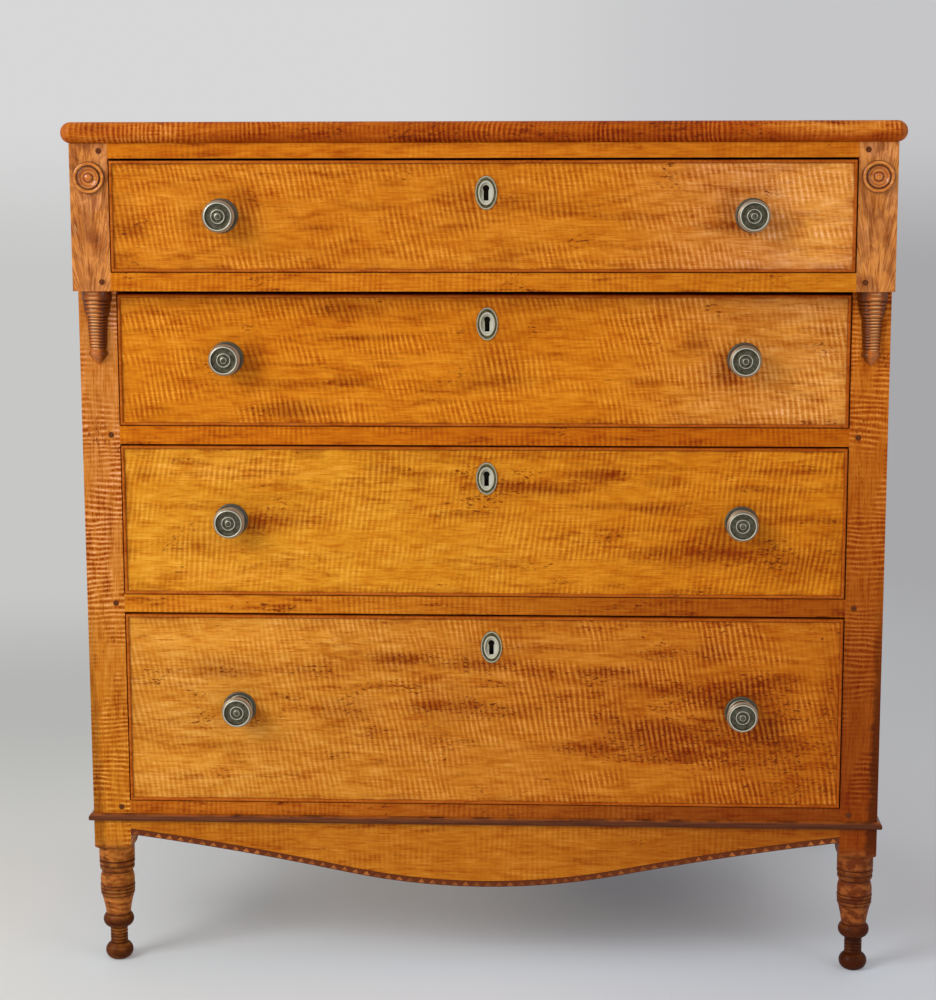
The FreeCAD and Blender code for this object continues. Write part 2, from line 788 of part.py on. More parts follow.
def make_top_board():
    """The top board, with a full round nose at the front and the ends."""
    half = half_width + top_overhang
    front = stage_y - top_overhang
    plan = [(-half, back_y), (-half, front), (half, front), (half, back_y)]
    board = padded("top_board", "XY_Plane", plan, top_thickness)
    middle = top_thickness / 2
    rounded(
        board,
        top_corner,
        lambda spot, edge: near(spot.y, front) and near(spot.z, middle),
    )
    rounded(
        board,
        middle - 0.1,
        lambda spot, edge: not near(spot.y, back_y) and not near(spot.z, middle),
    )
    return keep(put(board, (0, 0, case_top)), "top_board")


def make_base_bead():
    """The bead round the base: a front strip mitred to a return along each end."""
    inner = half_width
    outer = half_width + bead_reach
    face = front_y
    nose = front_y - bead_reach
    plans = [
        [(-inner, face), (-outer, nose), (outer, nose), (inner, face)],
        [(-outer, back_y), (-outer, nose), (-inner, face), (-inner, back_y)],
        [(inner, back_y), (inner, face), (outer, nose), (outer, back_y)],
    ]
    strips = []
    for plan in plans:
        strip = padded("base_bead_strip", "XY_Plane", plan, bead_height)

        def on_nose(spot, edge, level):
            outside = near(abs(spot.x), outer) or near(spot.y, nose)
            return outside and near(spot.z, level) and edge.Length > 20

        rounded(strip, bead_reach - 0.3, lambda spot, edge: on_nose(spot, edge, bead_height))
        rounded(strip, bead_height / 4, lambda spot, edge: on_nose(spot, edge, 0))
        strips.append(put(strip, (0, 0, apron_top - bead_height)))
    return keep(group("base_bead", strips), "base_bead")


def make_drawer_supports():
    """Runners and guides at both ends of every opening, kickers over the top drawer, and stops
    behind the drawer fronts."""
    runners, guides, stops = [], [], []
    for drawer in drawers.values():
        for side in (LEFT, RIGHT):
            low_x, width = from_end(side, end_rail_thickness, post_size + runner_reach)
            low_y = front_y + divider_depth
            low = (low_x, low_y, drawer.floor - runner_height)
            runners.append(box("runner", low, (width, inner_back_y - low_y, runner_height)))
            low_x, width = from_end(side, end_rail_thickness, post_size)
            low = (low_x, inner_front_y, drawer.floor)
            guides.append(box("guide", low, (width, inner_back_y - inner_front_y, guide_height)))
            stop_low = (
                side * (inner_x - stop_inset) - stop_width / 2,
                drawer.front_y + front_thickness,
                drawer.floor,
            )
            stops.append(box("stop", stop_low, (stop_width, stop_depth, stop_height)))
    kickers = []
    for side in (LEFT, RIGHT):
        low_x, width = from_end(side, end_rail_thickness, post_size + runner_reach)
        low = (low_x, inner_front_y, drawers[1].ceiling)
        extent = (width, inner_back_y - inner_front_y, case_top - drawers[1].ceiling)
        kickers.append(box("kicker", low, extent))
    keep(group("drawer_runners", runners), "drawer_runners")
    keep(group("drawer_guides", guides + kickers), "drawer_guides")
    keep(group("drawer_stops", stops), "drawer_stops")


def make_case():
    pegs = make_joint_pegs()
    rails = make_front_rails(pegs)
    apron = make_apron()
    panels = make_end_panels()
    end_rails = make_end_rails(panels, pegs)
    boards = make_back()
    joined = rails + [apron, panels, end_rails, boards, pieces["back_rails"], pegs]
    joinery = group("post_joinery", joined)
    rear_y = back_y - post_size
    make_post("front_left_post", LEFT, front_y, joinery)
    make_post("front_right_post", RIGHT, front_y, joinery)
    make_post("rear_left_post", LEFT, rear_y, joinery)
    make_post("rear_right_post", RIGHT, rear_y, joinery)
    make_corner_blocks(pegs)
    make_roundels()
    make_pendants()
    make_top_board()
    make_base_bead()
    make_drawer_supports()


# ---------------------------------------------------------------------------------------------
# A drawer. Its pieces are drawn about the middle of its opening's floor, at its front face.
# ---------------------------------------------------------------------------------------------


def drawer_place(drawer):
    return (0, drawer.front_y, drawer.floor)


def drawer_length(drawer):
    return drawer_lower_depth + (stage_reach if drawer.number == 1 else 0)


def dovetails(low, high, count, root_y, tip_y, upward):
    """Points of a row of dovetails along a drawer side's end, wider at their tips."""
    pitch = (high - low) / count
    points = []
    for index in range(count):
        middle = low + pitch * (index + 0.5)
        points += [
            (root_y, middle - pitch * 0.22),
            (tip_y, middle - pitch * 0.32),
            (tip_y, middle + pitch * 0.32),
            (root_y, middle + pitch * 0.22),
        ]
    return points if upward else points[::-1]


def make_drawer_sides(drawer, bottom):
    """Two sides, dovetailed to the front and the back and grooved for the bottom."""
    length = drawer_length(drawer)
    back_face = length - drawer_side
    tip = front_thickness - tail_length
    floor_top = floor_height + floor_thickness
    top = drawer.side_top
    points = [(front_thickness, 0), (length, 0), (length, floor_top), (back_face, floor_top)]
    points += dovetails(floor_top + 4, top - 6, drawer.tails, back_face, length, True)
    points += [(back_face, top), (front_thickness, top)]
    points += dovetails(floor_top + 4, top - 6, drawer.tails, front_thickness, tip, False)
    sides = []
    for low_x in (-drawer_half, drawer_half - drawer_side):
        side = padded(f"side_blank_{drawer.number}", "YZ_Plane", points, drawer_side)
        sides.append(put(side, (low_x, 0, 0)))
    blanks = group(f"side_blanks_{drawer.number}", sides)
    label = f"drawer_{drawer.number}_sides"
    return keep(put(cut(label, blanks, [bottom]), drawer_place(drawer)), label)


def make_cock_beads(drawer):
    """Four mitred strips with round noses round the edge of the drawer front."""
    low, high = bottom_gap, drawer.front_top
    half = drawer_half
    near_half = drawer_half - cock_bead
    near_low, near_high = low + cock_bead, high - cock_bead
    faces = [
        [(-half, high), (-near_half, near_high), (near_half, near_high), (half, high)],
        [(-half, low), (half, low), (near_half, near_low), (-near_half, near_low)],
        [(-half, low), (-near_half, near_low), (-near_half, near_high), (-half, high)],
        [(half, low), (half, high), (near_half, near_high), (near_half, near_low)],
    ]
    depth = front_thickness - tail_length + cock_bead_proud
    strips = []
    for face in faces:
        strip = padded(f"bead_{drawer.number}", "XZ_Plane", face, depth)
        rounded(
            strip,
            cock_bead / 2 - 0.1,
            lambda spot, edge: near(spot.y, -depth) and edge.Length > 4 * cock_bead.value,
        )
        strips.append(put(strip, (0, front_thickness - tail_length, 0)))
    return group(f"bead_strips_{drawer.number}", strips)


def knob_points():
    """The outline of a knob with its neck and threaded shank: radius, then depth from the face."""
    rim = knob_radius
    face = -knob_reach
    plate = -rosette_thickness
    end = front_thickness + nut_thickness + shank_end
    return [
        (0, face + 0.6),
        (rim - 16.2, face + 1.2, 0.4),
        (rim - 15.6, face + 2.6),
        (rim - 13.2, face + 3, -0.3),
        (rim - 10.9, face + 3, 1.4),
        (rim - 5.2, face + 3.2, -0.4),
        (rim - 4.8, face + 1.6),
        (rim - 2.4, face + 1.6, 1.6),
        (rim - 2.2, face + 3.4, -0.2),
        (rim * 0.97, face + 9, 1.1),
        (rim * 0.5, face + 14, 1.6),
        (rim * 0.4, plate - 5, -0.6),
        (rim * 0.48, plate, -0.8),
        (shank_radius, plate),
        (shank_radius, end),
        (0, end),
    ]


def rosette_points():
    hole = shank_radius + shank_play
    rim = rosette_radius
    return [
        (hole, -rosette_thickness),
        (rim - 5.5, -rosette_thickness),
        (rim - 2.8, -1.8, -0.4),
        (rim, -0.9, 0.7),
        (rim, 0),
        (hole, 0),
    ]


def nut_points():
    hole = shank_radius + shank_play
    face = front_thickness
    back = face + nut_thickness
    corner = 0.8
    return [
        (hole, face),
        (nut_radius, face),
        (nut_radius, back - corner),
        (nut_radius - corner, back),
        (hole, back),
    ]


def make_knobs(drawer):
    """Two knobs on rosettes, each held by a nut inside the drawer."""
    knobs = []
    for place_x in (-drawer.knob_left, drawer.knob_right):
        place = (place_x, 0, drawer.opening / 2)
        for name, points in (
            ("knob", knob_points()),
            ("rosette", rosette_points()),
            ("nut", nut_points()),
        ):
            knobs.append(put(turned(f"{name}_{drawer.number}", "XY_Plane", points), place))
    label = f"drawer_{drawer.number}_knobs"
    return keep(put(group(label, knobs), drawer_place(drawer)), label)


def oval(name, width, height, reach, centre):
    """An upright oval slab that stands out of the drawer's face by the reach."""
    ring = document.addObject("Part::Ellipse", f"{name}_ring")
    ring.Placement = FreeCAD.Placement(FreeCAD.Vector(), UPRIGHT_OVAL)
    bind(ring, "MajorRadius", height / 2)
    bind(ring, "MinorRadius", width / 2)
    put(ring, centre)
    slab = document.addObject("Part::Extrusion", name)
    slab.Base = ring
    slab.DirMode = "Custom"
    slab.Dir = FreeCAD.Vector(0, -1, 0)
    slab.Solid = True
    bind(slab, "LengthFwd", reach)
    return slab


def make_keyhole(drawer):
    """The space of the keyhole, from in front of the escutcheon into the lock."""
    reach = 2 * oval_reach
    depth = reach + front_thickness - lock_thickness + lock_plate + lock_play
    eye = rod(
        f"key_eye_{drawer.number}", key_eye, depth, (drawer.lock, -reach, drawer.eye), ALONG_Y
    )
    slot = box(
        f"key_slot_{drawer.number}",
        (drawer.lock - key_slot / 2, -reach, drawer.eye - key_length),
        (key_slot, depth, key_length),
    )
    return fuse(f"keyhole_{drawer.number}", eye, slot)


def make_escutcheon(drawer, keyhole):
    """An oval plate with a raised oval rim round the keyhole, and its two pins."""
    number = drawer.number
    centre_z = drawer.opening - key_drop
    centre = (drawer.lock, 0, centre_z)
    plate = oval(f"plate_{number}", plate_width, plate_height, plate_thickness, centre)
    raised = oval(f"raised_oval_{number}", oval_width, oval_height, oval_reach, centre)
    hollow = oval(
        f"hollow_{number}",
        oval_width - 2 * oval_rim,
        oval_height - 2 * oval_rim,
        oval_reach - plate_thickness,
        (drawer.lock, -plate_thickness, centre_z),
    )
    pins = []
    for side in (-1, 1):
        start = (drawer.lock, -pin_reach, centre_z + side * pin_place)
        pins.append(rod(f"pin_{number}", pin_radius, pin_reach + pin_depth, start, ALONG_Y))
    plate_blank = fuse(f"plate_blank_{number}", plate, raised)
    plate_cut = cut(f"plate_cut_{number}", plate_blank, [hollow, keyhole] + pins)
    label = f"drawer_{number}_escutcheon"
    keep(put(group(label, [plate_cut] + pins), drawer_place(drawer)), label)
    return pins


def make_lock(drawer, keyhole):
    """A lock case let into the back of the drawer front, and the bolt that slides up out of it."""
    number = drawer.number
    low_z = drawer.eye - lock_foot
    back = front_thickness
    face = back - lock_thickness
    case = box(
        f"lock_body_{number}",
        (drawer.lock - lock_width / 2, face, low_z),
        (lock_width, lock_thickness, drawer.front_top - low_z),
    )
    selvage_y = front_thickness - tail_length
    selvage = box(
        f"lock_selvage_{number}",
        (drawer.lock - lock_width / 2, selvage_y, drawer.front_top - lock_plate),
        (lock_width, back - selvage_y, lock_plate),
    )
    blank = fuse(f"lock_blank_{number}", case, selvage)
    cavity_width = lock_bolt_width + 2 * lock_play
    cavity = box(
        f"lock_cavity_{number}",
        (drawer.lock - cavity_width / 2, face + lock_plate, low_z + lock_plate),
        (
            cavity_width,
            lock_bolt_thickness + 2 * lock_play,
            drawer.front_top - low_z,
        ),
    )
    label = f"drawer_{number}_lock"
    keep(put(cut(label, blank, [cavity, keyhole]), drawer_place(drawer)), label)

    bolt_low = drawer.front_top - lock_bolt_length
    bolt = box(
        f"bolt_blank_{number}",
        (drawer.lock - lock_bolt_width / 2, face + lock_plate + lock_play, bolt_low),
        (lock_bolt_width, lock_bolt_thickness, lock_bolt_length),
    )
    notch = box(
        f"bolt_notch_{number}",
        (drawer.lock - notch_width / 2, face, bolt_low - 1),
        (notch_width, lock_thickness, notch_height + 1),
    )
    label = f"drawer_{number}_bolt"
    keep(put(cut(label, bolt, [notch]), drawer_place(drawer)), label)
    return blank


def make_drawer(drawer):
    number = drawer.number
    length = drawer_length(drawer)
    inner = drawer_half - drawer_side
    floor = box(
        f"bottom_board_{number}",
        (-inner - floor_groove, front_thickness - floor_groove, floor_height),
        (2 * (inner + floor_groove), length - front_thickness + floor_groove, floor_thickness),
    )
    label = f"drawer_{number}_bottom"
    keep(put(group(label, [floor]), drawer_place(drawer)), label)

    sides = make_drawer_sides(drawer, floor)
    local_sides = sides.Base
    beads = make_cock_beads(drawer)
    label = f"drawer_{number}_cock_beads"
    keep(put(group(label, [beads]), drawer_place(drawer)), label)

    keyhole = make_keyhole(drawer)
    pins = make_escutcheon(drawer, keyhole)
    lock_blank = make_lock(drawer, keyhole)
    make_knobs(drawer)

    blank = box(
        f"front_blank_{number}",
        (-drawer_half, 0, bottom_gap),
        (2 * drawer_half, front_thickness, drawer.front_top - bottom_gap),
    )
    shank_holes = [
        rod(
            f"shank_hole_{number}",
            shank_radius + shank_play,
            front_thickness,
            (place_x, 0, drawer.opening / 2),
            ALONG_Y,
        )
        for place_x in (-drawer.knob_left, drawer.knob_right)
    ]
    tools = [local_sides, floor, beads, keyhole, lock_blank] + pins + shank_holes
    label = f"drawer_{number}_front"
    keep(put(cut(label, blank, tools), drawer_place(drawer)), label)

    floor_top = floor_height + floor_thickness
    back_blank = box(
        f"back_blank_{number}",
        (-drawer_half, length - drawer_side, floor_top),
        (2 * drawer_half, drawer_side, drawer.side_top - floor_top),
    )
    label = f"drawer_{number}_back"
    keep(put(cut(label, back_blank, [local_sides]), drawer_place(drawer)), label)


# ---------------------------------------------------------------------------------------------
# Build, check and write
# ---------------------------------------------------------------------------------------------


def check():
    """Stops the build if any object failed or any sub-part's shape isn't sound."""
    for item in document.Objects:
        if any(word in item.State for word in ("Invalid", "Error")):
            raise RuntimeError(f"{item.Label} failed: {item.State}")
    for label, item in pieces.items():
        if item.Shape.isNull() or not item.Shape.isValid():
            raise RuntimeError(f"{label} has no sound shape")
        if not item.Shape.Solids:
            raise RuntimeError(f"{label} has no solid")


def write():
    os.makedirs("parts", exist_ok=True)
    for label, item in pieces.items():
        item.Shape.exportStep(f"parts/{label}.step")


document.recompute()
make_case()
for each in drawers.values():
    make_drawer(each)
document.recompute()
check()
write()
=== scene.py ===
"""Finishes and stages a curly maple chest of four drawers."""

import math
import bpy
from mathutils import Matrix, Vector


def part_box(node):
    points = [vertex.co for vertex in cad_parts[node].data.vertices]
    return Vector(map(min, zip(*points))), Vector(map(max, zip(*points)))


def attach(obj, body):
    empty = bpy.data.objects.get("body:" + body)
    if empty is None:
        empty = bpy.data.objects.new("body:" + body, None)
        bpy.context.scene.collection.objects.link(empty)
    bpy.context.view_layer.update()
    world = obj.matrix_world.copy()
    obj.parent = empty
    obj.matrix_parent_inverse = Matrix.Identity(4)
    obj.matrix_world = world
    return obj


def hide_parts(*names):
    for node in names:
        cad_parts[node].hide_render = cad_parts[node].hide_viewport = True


bl_info = {
    "name": "Maple Chest of Drawers",
    "version": (1, 0, 0),
    "blender": (4, 5, 0),
    "location": "3D View > Sidebar > Chest",
    "description": "Woods, metals, banding and stage for a chest of four graduated drawers",
    "category": "Object",
}

from dataclasses import dataclass
from functools import reduce

import bmesh
import bpy
from bpy.props import FloatProperty, FloatVectorProperty, PointerProperty
from mathutils import Matrix, Vector

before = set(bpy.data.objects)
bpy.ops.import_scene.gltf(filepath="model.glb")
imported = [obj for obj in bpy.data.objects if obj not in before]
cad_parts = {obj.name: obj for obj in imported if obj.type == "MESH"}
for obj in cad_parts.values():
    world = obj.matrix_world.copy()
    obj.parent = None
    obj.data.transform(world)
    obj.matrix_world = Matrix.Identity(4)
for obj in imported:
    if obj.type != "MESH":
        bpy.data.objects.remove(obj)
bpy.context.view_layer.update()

MM = 0.001
UNSCALED = (1, 1, 1)
ANY_DEPTH = 10  # A unit so long that the place in depth hardly counts
DRAWERS = (1, 2, 3, 4)


def tint(red, green, blue):
    """A colour given in screen values from 0 to 255, in the linear values of a shader."""
    linear = []
    for value in (red / 255, green / 255, blue / 255):
        linear.append(value / 12.92 if value < 0.04045 else ((value + 0.055) / 1.055) ** 2.4)
    return (*linear, 1.0)


# ---------------------------------------------------------------------------------------------
# Settings
# ---------------------------------------------------------------------------------------------


def colour_setting(label, description, screen):
    """A colour that the user can change."""
    return FloatVectorProperty(
        name=label,
        description=description,
        subtype="COLOR",
        size=4,
        min=0,
        max=1,
        default=tint(*screen),
    )


def length_setting(label, description, default, low, high):
    """A length that the user can change, given here in mm."""
    return FloatProperty(
        name=label,
        description=description,
        default=default * MM,
        min=low * MM,
        max=high * MM,
        unit="LENGTH",
    )


def share_setting(label, description, default, low=0, high=1):
    """A share that the user can change."""
    return FloatProperty(
        name=label, description=description, default=default, min=low, max=high, subtype="FACTOR"
    )


def power_setting(label, description, watts):
    """A lamp's power."""
    return FloatProperty(
        name=label, description=description, default=watts, min=0, soft_max=500, unit="POWER"
    )


class ChestWoodSettings(bpy.types.PropertyGroup):
    """Colours and figure of the woods"""

    light: colour_setting("Light maple", "Pale patches of the curly maple", (236, 158, 52))
    curl: colour_setting("Curl", "Dark bands and patches of the curly maple", (140, 58, 0))
    stain: colour_setting("Stain", "Dark flecks in the maple", (108, 38, 4))
    # Inside the keyholes this black is painted shade; at the feet it is their own dark colour.
    keyhole_shade_and_foot_black: colour_setting("Soot", "Black inside the keyholes and at the feet", (24, 16, 12))
    turned: colour_setting("Turned legs", "Worn tone of the turned legs", (186, 110, 52))
    leg: colour_setting("Legs", "Red-brown polish of the turned legs", (104, 46, 18))
    crotch: colour_setting("Crotch ground", "Ground of the corner blocks", (214, 136, 62))
    feather: colour_setting("Crotch feather", "Dark figure of the corner blocks", (156, 86, 40))
    # This pale colour also paints the highlight along the middle of the pendants.
    plume: colour_setting("Crotch plume", "Pale feathers of the corner blocks", (236, 176, 112))
    # This colour also paints the highlight along the top of the base bead.
    turning: colour_setting("Turnings", "Glossy red-brown of the turnings", (190, 98, 26))
    rim: colour_setting("Roundels", "Orange-brown of the roundels", (218, 138, 54))
    # Besides old polish and other dark marks of the wood and iron, this colour paints shade: in the
    # grooves of the turnings and legs, at the sides of the pendants, round the roundels and on the
    # lower part of the base bead.
    old_polish_and_shade: colour_setting("Grooves", "Old polish in the grooves of the turnings", (70, 26, 4))
    edge: colour_setting("Edge bead", "Dark base bead", (112, 58, 22))
    pine: colour_setting("Pine", "Secondary wood inside the chest", (196, 154, 100))
    pine_late: colour_setting("Pine late wood", "Darker lines of the pine", (150, 102, 56))
    curl_pitch: length_setting("Curl pitch", "Distance from one stripe to the next", 6.8, 3, 30)
    gloss: share_setting("Polish", "How much the old polish shines", 0.04)


class ChestBandingSettings(bpy.types.PropertyGroup):
    """Inlaid banding of the apron"""

    tooth: length_setting("Triangle spacing", "Distance between two triangles", 14.6, 4, 40)
    line: share_setting("Edge line", "Dark line, as a share of the banding's width", 0.14, 0, 0.5)
    spread: share_setting("Spread", "Foot of a triangle, as a share of the spacing", 0.62, 0.2)
    light: colour_setting("Light triangles", "Pale wood of the triangles", (196, 116, 54))
    dark: colour_setting("Band", "Red-brown wood between the triangles", (104, 46, 14))


class ChestMetalSettings(bpy.types.PropertyGroup):
    """Knobs, plates and locks"""

    patina: colour_setting("Patina", "Dark patina of the knobs", (78, 70, 50))
    brass: colour_setting("Dull brass", "Dull brass of the knobs", (112, 112, 96))
    tarnish: colour_setting("Tarnish", "Nearly black metal behind the knobs", (52, 46, 34))
    # On the ridges of the knobs and plates this near-white is worn metal with a painted highlight,
    # and in the plates' middle it is a painted glint.
    worn: colour_setting("Worn brass", "Bright worn ridges", (244, 240, 220))
    # This pale band round the knobs is a painted reflection.
    band: colour_setting("Worn band", "Pale worn band round the knobs", (172, 164, 144))
    plate: colour_setting("Plates", "Brass of the keyhole plates and bolts", (150, 140, 96))
    iron: colour_setting("Iron", "Iron of the lock cases", (70, 64, 58))


class ChestStageSettings(bpy.types.PropertyGroup):
    """Floor, backdrop, lamps and camera"""

    floor: colour_setting("Floor", "Plain pale floor", (232, 233, 228))
    # The floor's cooler tone on the right is painted shade.
    floor_shade: colour_setting("Floor, shaded", "Floor on the right", (230, 233, 238))
    left: colour_setting("Backdrop, left", "Backdrop low on the left", (199, 199, 198))
    right: colour_setting("Backdrop, right", "Backdrop low on the right", (167, 167, 169))
    upper_left: colour_setting("Backdrop, high left", "Backdrop high on the left", (215, 215, 215))
    upper_right: colour_setting(
        "Backdrop, high right", "Backdrop high on the right", (198, 198, 200)
    )
    key_power: power_setting("Key lamp", "Power of the soft lamp at the upper left", 110)
    fill_power: power_setting("Fill lamp", "Power of the soft lamp at the right", 14)
    world_strength: FloatProperty(
        name="Room light",
        description="Even light from all round",
        default=0.64,
        min=0,
        max=2,
    )
    lens: FloatProperty(
        name="Focal length",
        description="Focal length of the camera",
        default=81.67 * MM,
        min=10 * MM,
        max=300 * MM,
        subtype="DISTANCE",
        unit="CAMERA",
    )


# ---------------------------------------------------------------------------------------------
# Shader arithmetic
# ---------------------------------------------------------------------------------------------


class Signal:
    """A value in a shader. Plain arithmetic on it adds Math nodes."""

    def __init__(self, finish, socket):
        self.finish = finish
        self.socket = socket

    def step(self, operation, *values):
        return self.finish.node(
            "ShaderNodeMath", {"operation": operation}, dict(enumerate(values))
        )

    def __add__(self, other):
        return self.step("ADD", self, other)

    def __radd__(self, other):
        return self.step("ADD", other, self)

    def __sub__(self, other):
        return self.step("SUBTRACT", self, other)

    def __rsub__(self, other):
        return self.step("SUBTRACT", other, self)

    def __mul__(self, other):
        return self.step("MULTIPLY", self, other)

    def __rmul__(self, other):
        return self.step("MULTIPLY", other, self)

    def __truediv__(self, other):
        return self.step("DIVIDE", self, other)

    def __rtruediv__(self, other):
        return self.step("DIVIDE", other, self)

    def __abs__(self):
        return self.step("ABSOLUTE", self)

    def root(self):
        return self.step("SQRT", self)

    def sine(self):
        return self.step("SINE", self)

    def most(self, other):
        return self.step("MAXIMUM", self, other)

    def least(self, other):
        return self.step("MINIMUM", self, other)

    def smooth(self, low, high):
        """0 below low, 1 above high, and a smooth step between them."""
        return self.finish.node(
            "ShaderNodeMapRange",
            {"interpolation_type": "SMOOTHSTEP"},
            {"Value": self, "From Min": low, "From Max": high},
        )

    def pulse(self, centre, width):
        """1 at the centre, falling to 0 a width away on either side."""
        return 1 - abs(self - centre).smooth(0, width)


class Finish:
    """A material and the nodes that make it."""

    def __init__(self, name, **shader):
        self.material = bpy.data.materials.new(name)
        self.material.use_nodes = True
        self.tree = self.material.node_tree
        self.shader = self.tree.nodes["Principled BSDF"]
        for key, value in shader.items():
            self.shader.inputs[socket_name(key)].default_value = value
        self.coordinates = self.node("ShaderNodeTexCoord", {}, {}, "Object")

    def node(self, kind, settings, inputs, output=0):
        """Adds a node: its settings first, then the values or links of its sockets."""
        node = self.tree.nodes.new(kind)
        for key, value in settings.items():
            setattr(node, key, value)
        for key, value in inputs.items():
            socket = pick(node.inputs, key)
            if isinstance(value, Signal):
                self.tree.links.new(value.socket, socket)
            else:
                socket.default_value = value
        return Signal(self, pick(node.outputs, output))

    def place(self, vector, centre=(0, 0, 0), turn=(0, 0, 0), unit=(MM, MM, MM)):
        """A place about a centre, turned, and measured in a unit along each axis."""
        return self.node(
            "ShaderNodeMapping",
            {"vector_type": "TEXTURE"},
            {"Vector": vector, "Location": centre, "Rotation": turn, "Scale": unit},
        )

    def axes(self, **where):
        """The place on the piece along x, y and z, in mm unless a unit is given."""
        return self.split(self.place(self.coordinates, **where))

    def noise(
        self, vector, size, detail=3, roughness=0.6, distortion=0.0, unit=MM, centre=(0, 0, 0)
    ):
        """Noise with clouds of this size along each axis, in mm unless a unit is given."""
        clouds = self.place(vector, centre, unit=[length * unit for length in size])
        shape = {"Scale": 1.0, "Detail": detail, "Roughness": roughness, "Distortion": distortion}
        return self.node("ShaderNodeTexNoise", {}, {"Vector": clouds, **shape}, "Fac")

    def oval(self, centre, half_width, half_height):
        """Distance from a centre on the front: 1 on the rim of an oval of this size in mm."""
        unit = (half_width * MM, ANY_DEPTH, half_height * MM)
        spot = self.place(self.coordinates, centre=centre, unit=unit)
        return self.node("ShaderNodeVectorMath", {"operation": "LENGTH"}, {0: spot}, "Value")

    def split(self, vector):
        parts = self.node("ShaderNodeSeparateXYZ", {}, {"Vector": vector}, "X")
        node = parts.socket.node
        return tuple(Signal(self, node.outputs[axis]) for axis in "XYZ")

    def join(self, x, y, z):
        return self.node("ShaderNodeCombineXYZ", {}, {"X": x, "Y": y, "Z": z})

    def blend(self, factor, first, second, kind="MIX"):
        """Goes from the first colour to the second with the factor."""
        return self.node(
            "ShaderNodeMix",
            {"data_type": "RGBA", "blend_type": kind, "clamp_factor": True},
            {"Factor_Float": factor, "A_Color": first, "B_Color": second},
            "Result_Color",
        )

    def shade(self, factor, colour, gain):
        """Multiplies a colour by a gain, as far as the factor says."""
        return self.blend(factor, colour, gain, "MULTIPLY")

    def surface(self, output, factor, first, second):
        """Gives the surface a mix of two shaders."""
        mixed = self.node("ShaderNodeMixShader", {}, {0: factor, 1: first, 2: second})
        self.tree.links.new(mixed.socket, self.tree.nodes[output].inputs["Surface"])

    def feed(self, **inputs):
        """Links values that change over the surface to the shader."""
        for key, value in inputs.items():
            self.tree.links.new(value.socket, self.shader.inputs[socket_name(key)])

    def bump(self, height, distance, strength=1.0):
        normal = self.node(
            "ShaderNodeBump", {}, {"Height": height, "Distance": distance, "Strength": strength}
        )
        self.feed(normal=normal)


class WorldNodes(Finish):
    """The same node tools for the world."""

    def __init__(self, tree):
        self.tree = tree


def pick(sockets, key):
    """The socket with this number, identifier or name."""
    if isinstance(key, int):
        return sockets[key]
    return next(socket for socket in sockets if key in (socket.identifier, socket.name))


def socket_name(key):
    """The shader's own name for a socket, such as Base Color for base_color."""
    return key.replace("_", " ").title().replace("Ior", "IOR")


def dress(finish, *names):
    """Gives a finish to parts of the chest."""
    for name in names:
        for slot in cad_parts[name].material_slots:
            slot.material = finish.material


def base_colour(finish):
    """The colour that a finish has so far."""
    return Signal(finish, finish.shader.inputs["Base Color"].links[0].from_socket)


def middle(name):
    """Middle of a part's box."""
    low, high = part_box(name)
    return (low + high) / 2


def stand_off(name, half_width):
    """How far the left and the right one of a pair stand from the middle between them, in mm."""
    low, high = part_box(name)
    return (high.x - low.x) / 2 / MM - half_width


def axis_distance(finish, name, half_width):
    """Distance in mm from the axis of the nearer one of a pair of round pieces."""
    x, _, z = finish.axes()
    centre = middle(name) / MM
    across = abs(x - centre.x) - stand_off(name, half_width)
    up = z - centre.z
    return (across * across + up * up).root()


def darken_rings(finish, colour, place, rings, dark, wear=1):
    """Darkens a colour in rings, each with its place, half width and strength."""
    for ring, half_width, strength in rings:
        colour = finish.blend(place.pulse(ring, half_width) * strength * wear, colour, dark)
    return colour


def ridges(place, rings):
    """The strongest of several rings, each with its place, half width and strength."""
    masks = [place.pulse(ring, half_width) * strength for ring, half_width, strength in rings]
    return reduce(Signal.most, masks)


# ---------------------------------------------------------------------------------------------
# Woods
# ---------------------------------------------------------------------------------------------

# Gains on a colour's red, green and blue
LIGHTER = (1.19, 1.37, 2.4, 1)
DARKER = (0.67, 0.38, 0.05, 1)
RUDDIER = (0.8, 0.56, 0.2, 1)
DUSKIER = (0.6, 0.46, 0.34, 1)

# Turns that bring the grain to a board's local x
ALONG_X = (0, 0, 0)
ALONG_Y = (0, 0, math.radians(90))
ALONG_Z = (0, math.radians(-90), 0)


@dataclass
class Figure:
    """How one board of curly maple looks, from its low end to its high end."""

    seed: float
    low: tuple  # Screen colours of the two ends
    high: tuple
    span: tuple = (-0.42, 0.42)  # Stretch along the grain over which the colour changes, in m
    slant: float = 0.0  # Lean of the curl in degrees
    curl: tuple = (0.3, 0.3)  # Strength of the curl at the two ends
    band: float = 0.5  # Strength of the dark bands
    pitch: float = 1.0  # Spacing of the curl, as a share of the setting
    fleck: float = 0.0  # How many dark flecks
    wander: float = 1.0  # How much the curl bends


def saw(finish, along, seed, stride):
    """A board's place along its grain, and the same at its own spot in the log."""
    local = finish.place(finish.coordinates, turn=along, unit=UNSCALED)
    return local, finish.place(local, centre=[seed * step for step in stride], unit=UNSCALED)


def curl_wave(finish, board, wood, figure):
    """Crests and troughs of the curl: nearly straight ridges across the grain, from -1 to 1."""
    tilted = finish.place(board, turn=(0, math.radians(figure.slant), 0), unit=UNSCALED)
    slow = finish.noise(tilted, (110, 60, 150), 1, 0.5)
    quick = finish.noise(tilted, (20, 40, 44), 2, 0.5)
    radian = wood.curl_pitch * figure.pitch / math.tau
    along, _, _ = finish.split(finish.place(tilted, unit=(radian, 1, 1)))
    return (along + slow * 15 * figure.wander + quick * 5 * figure.wander).sine()


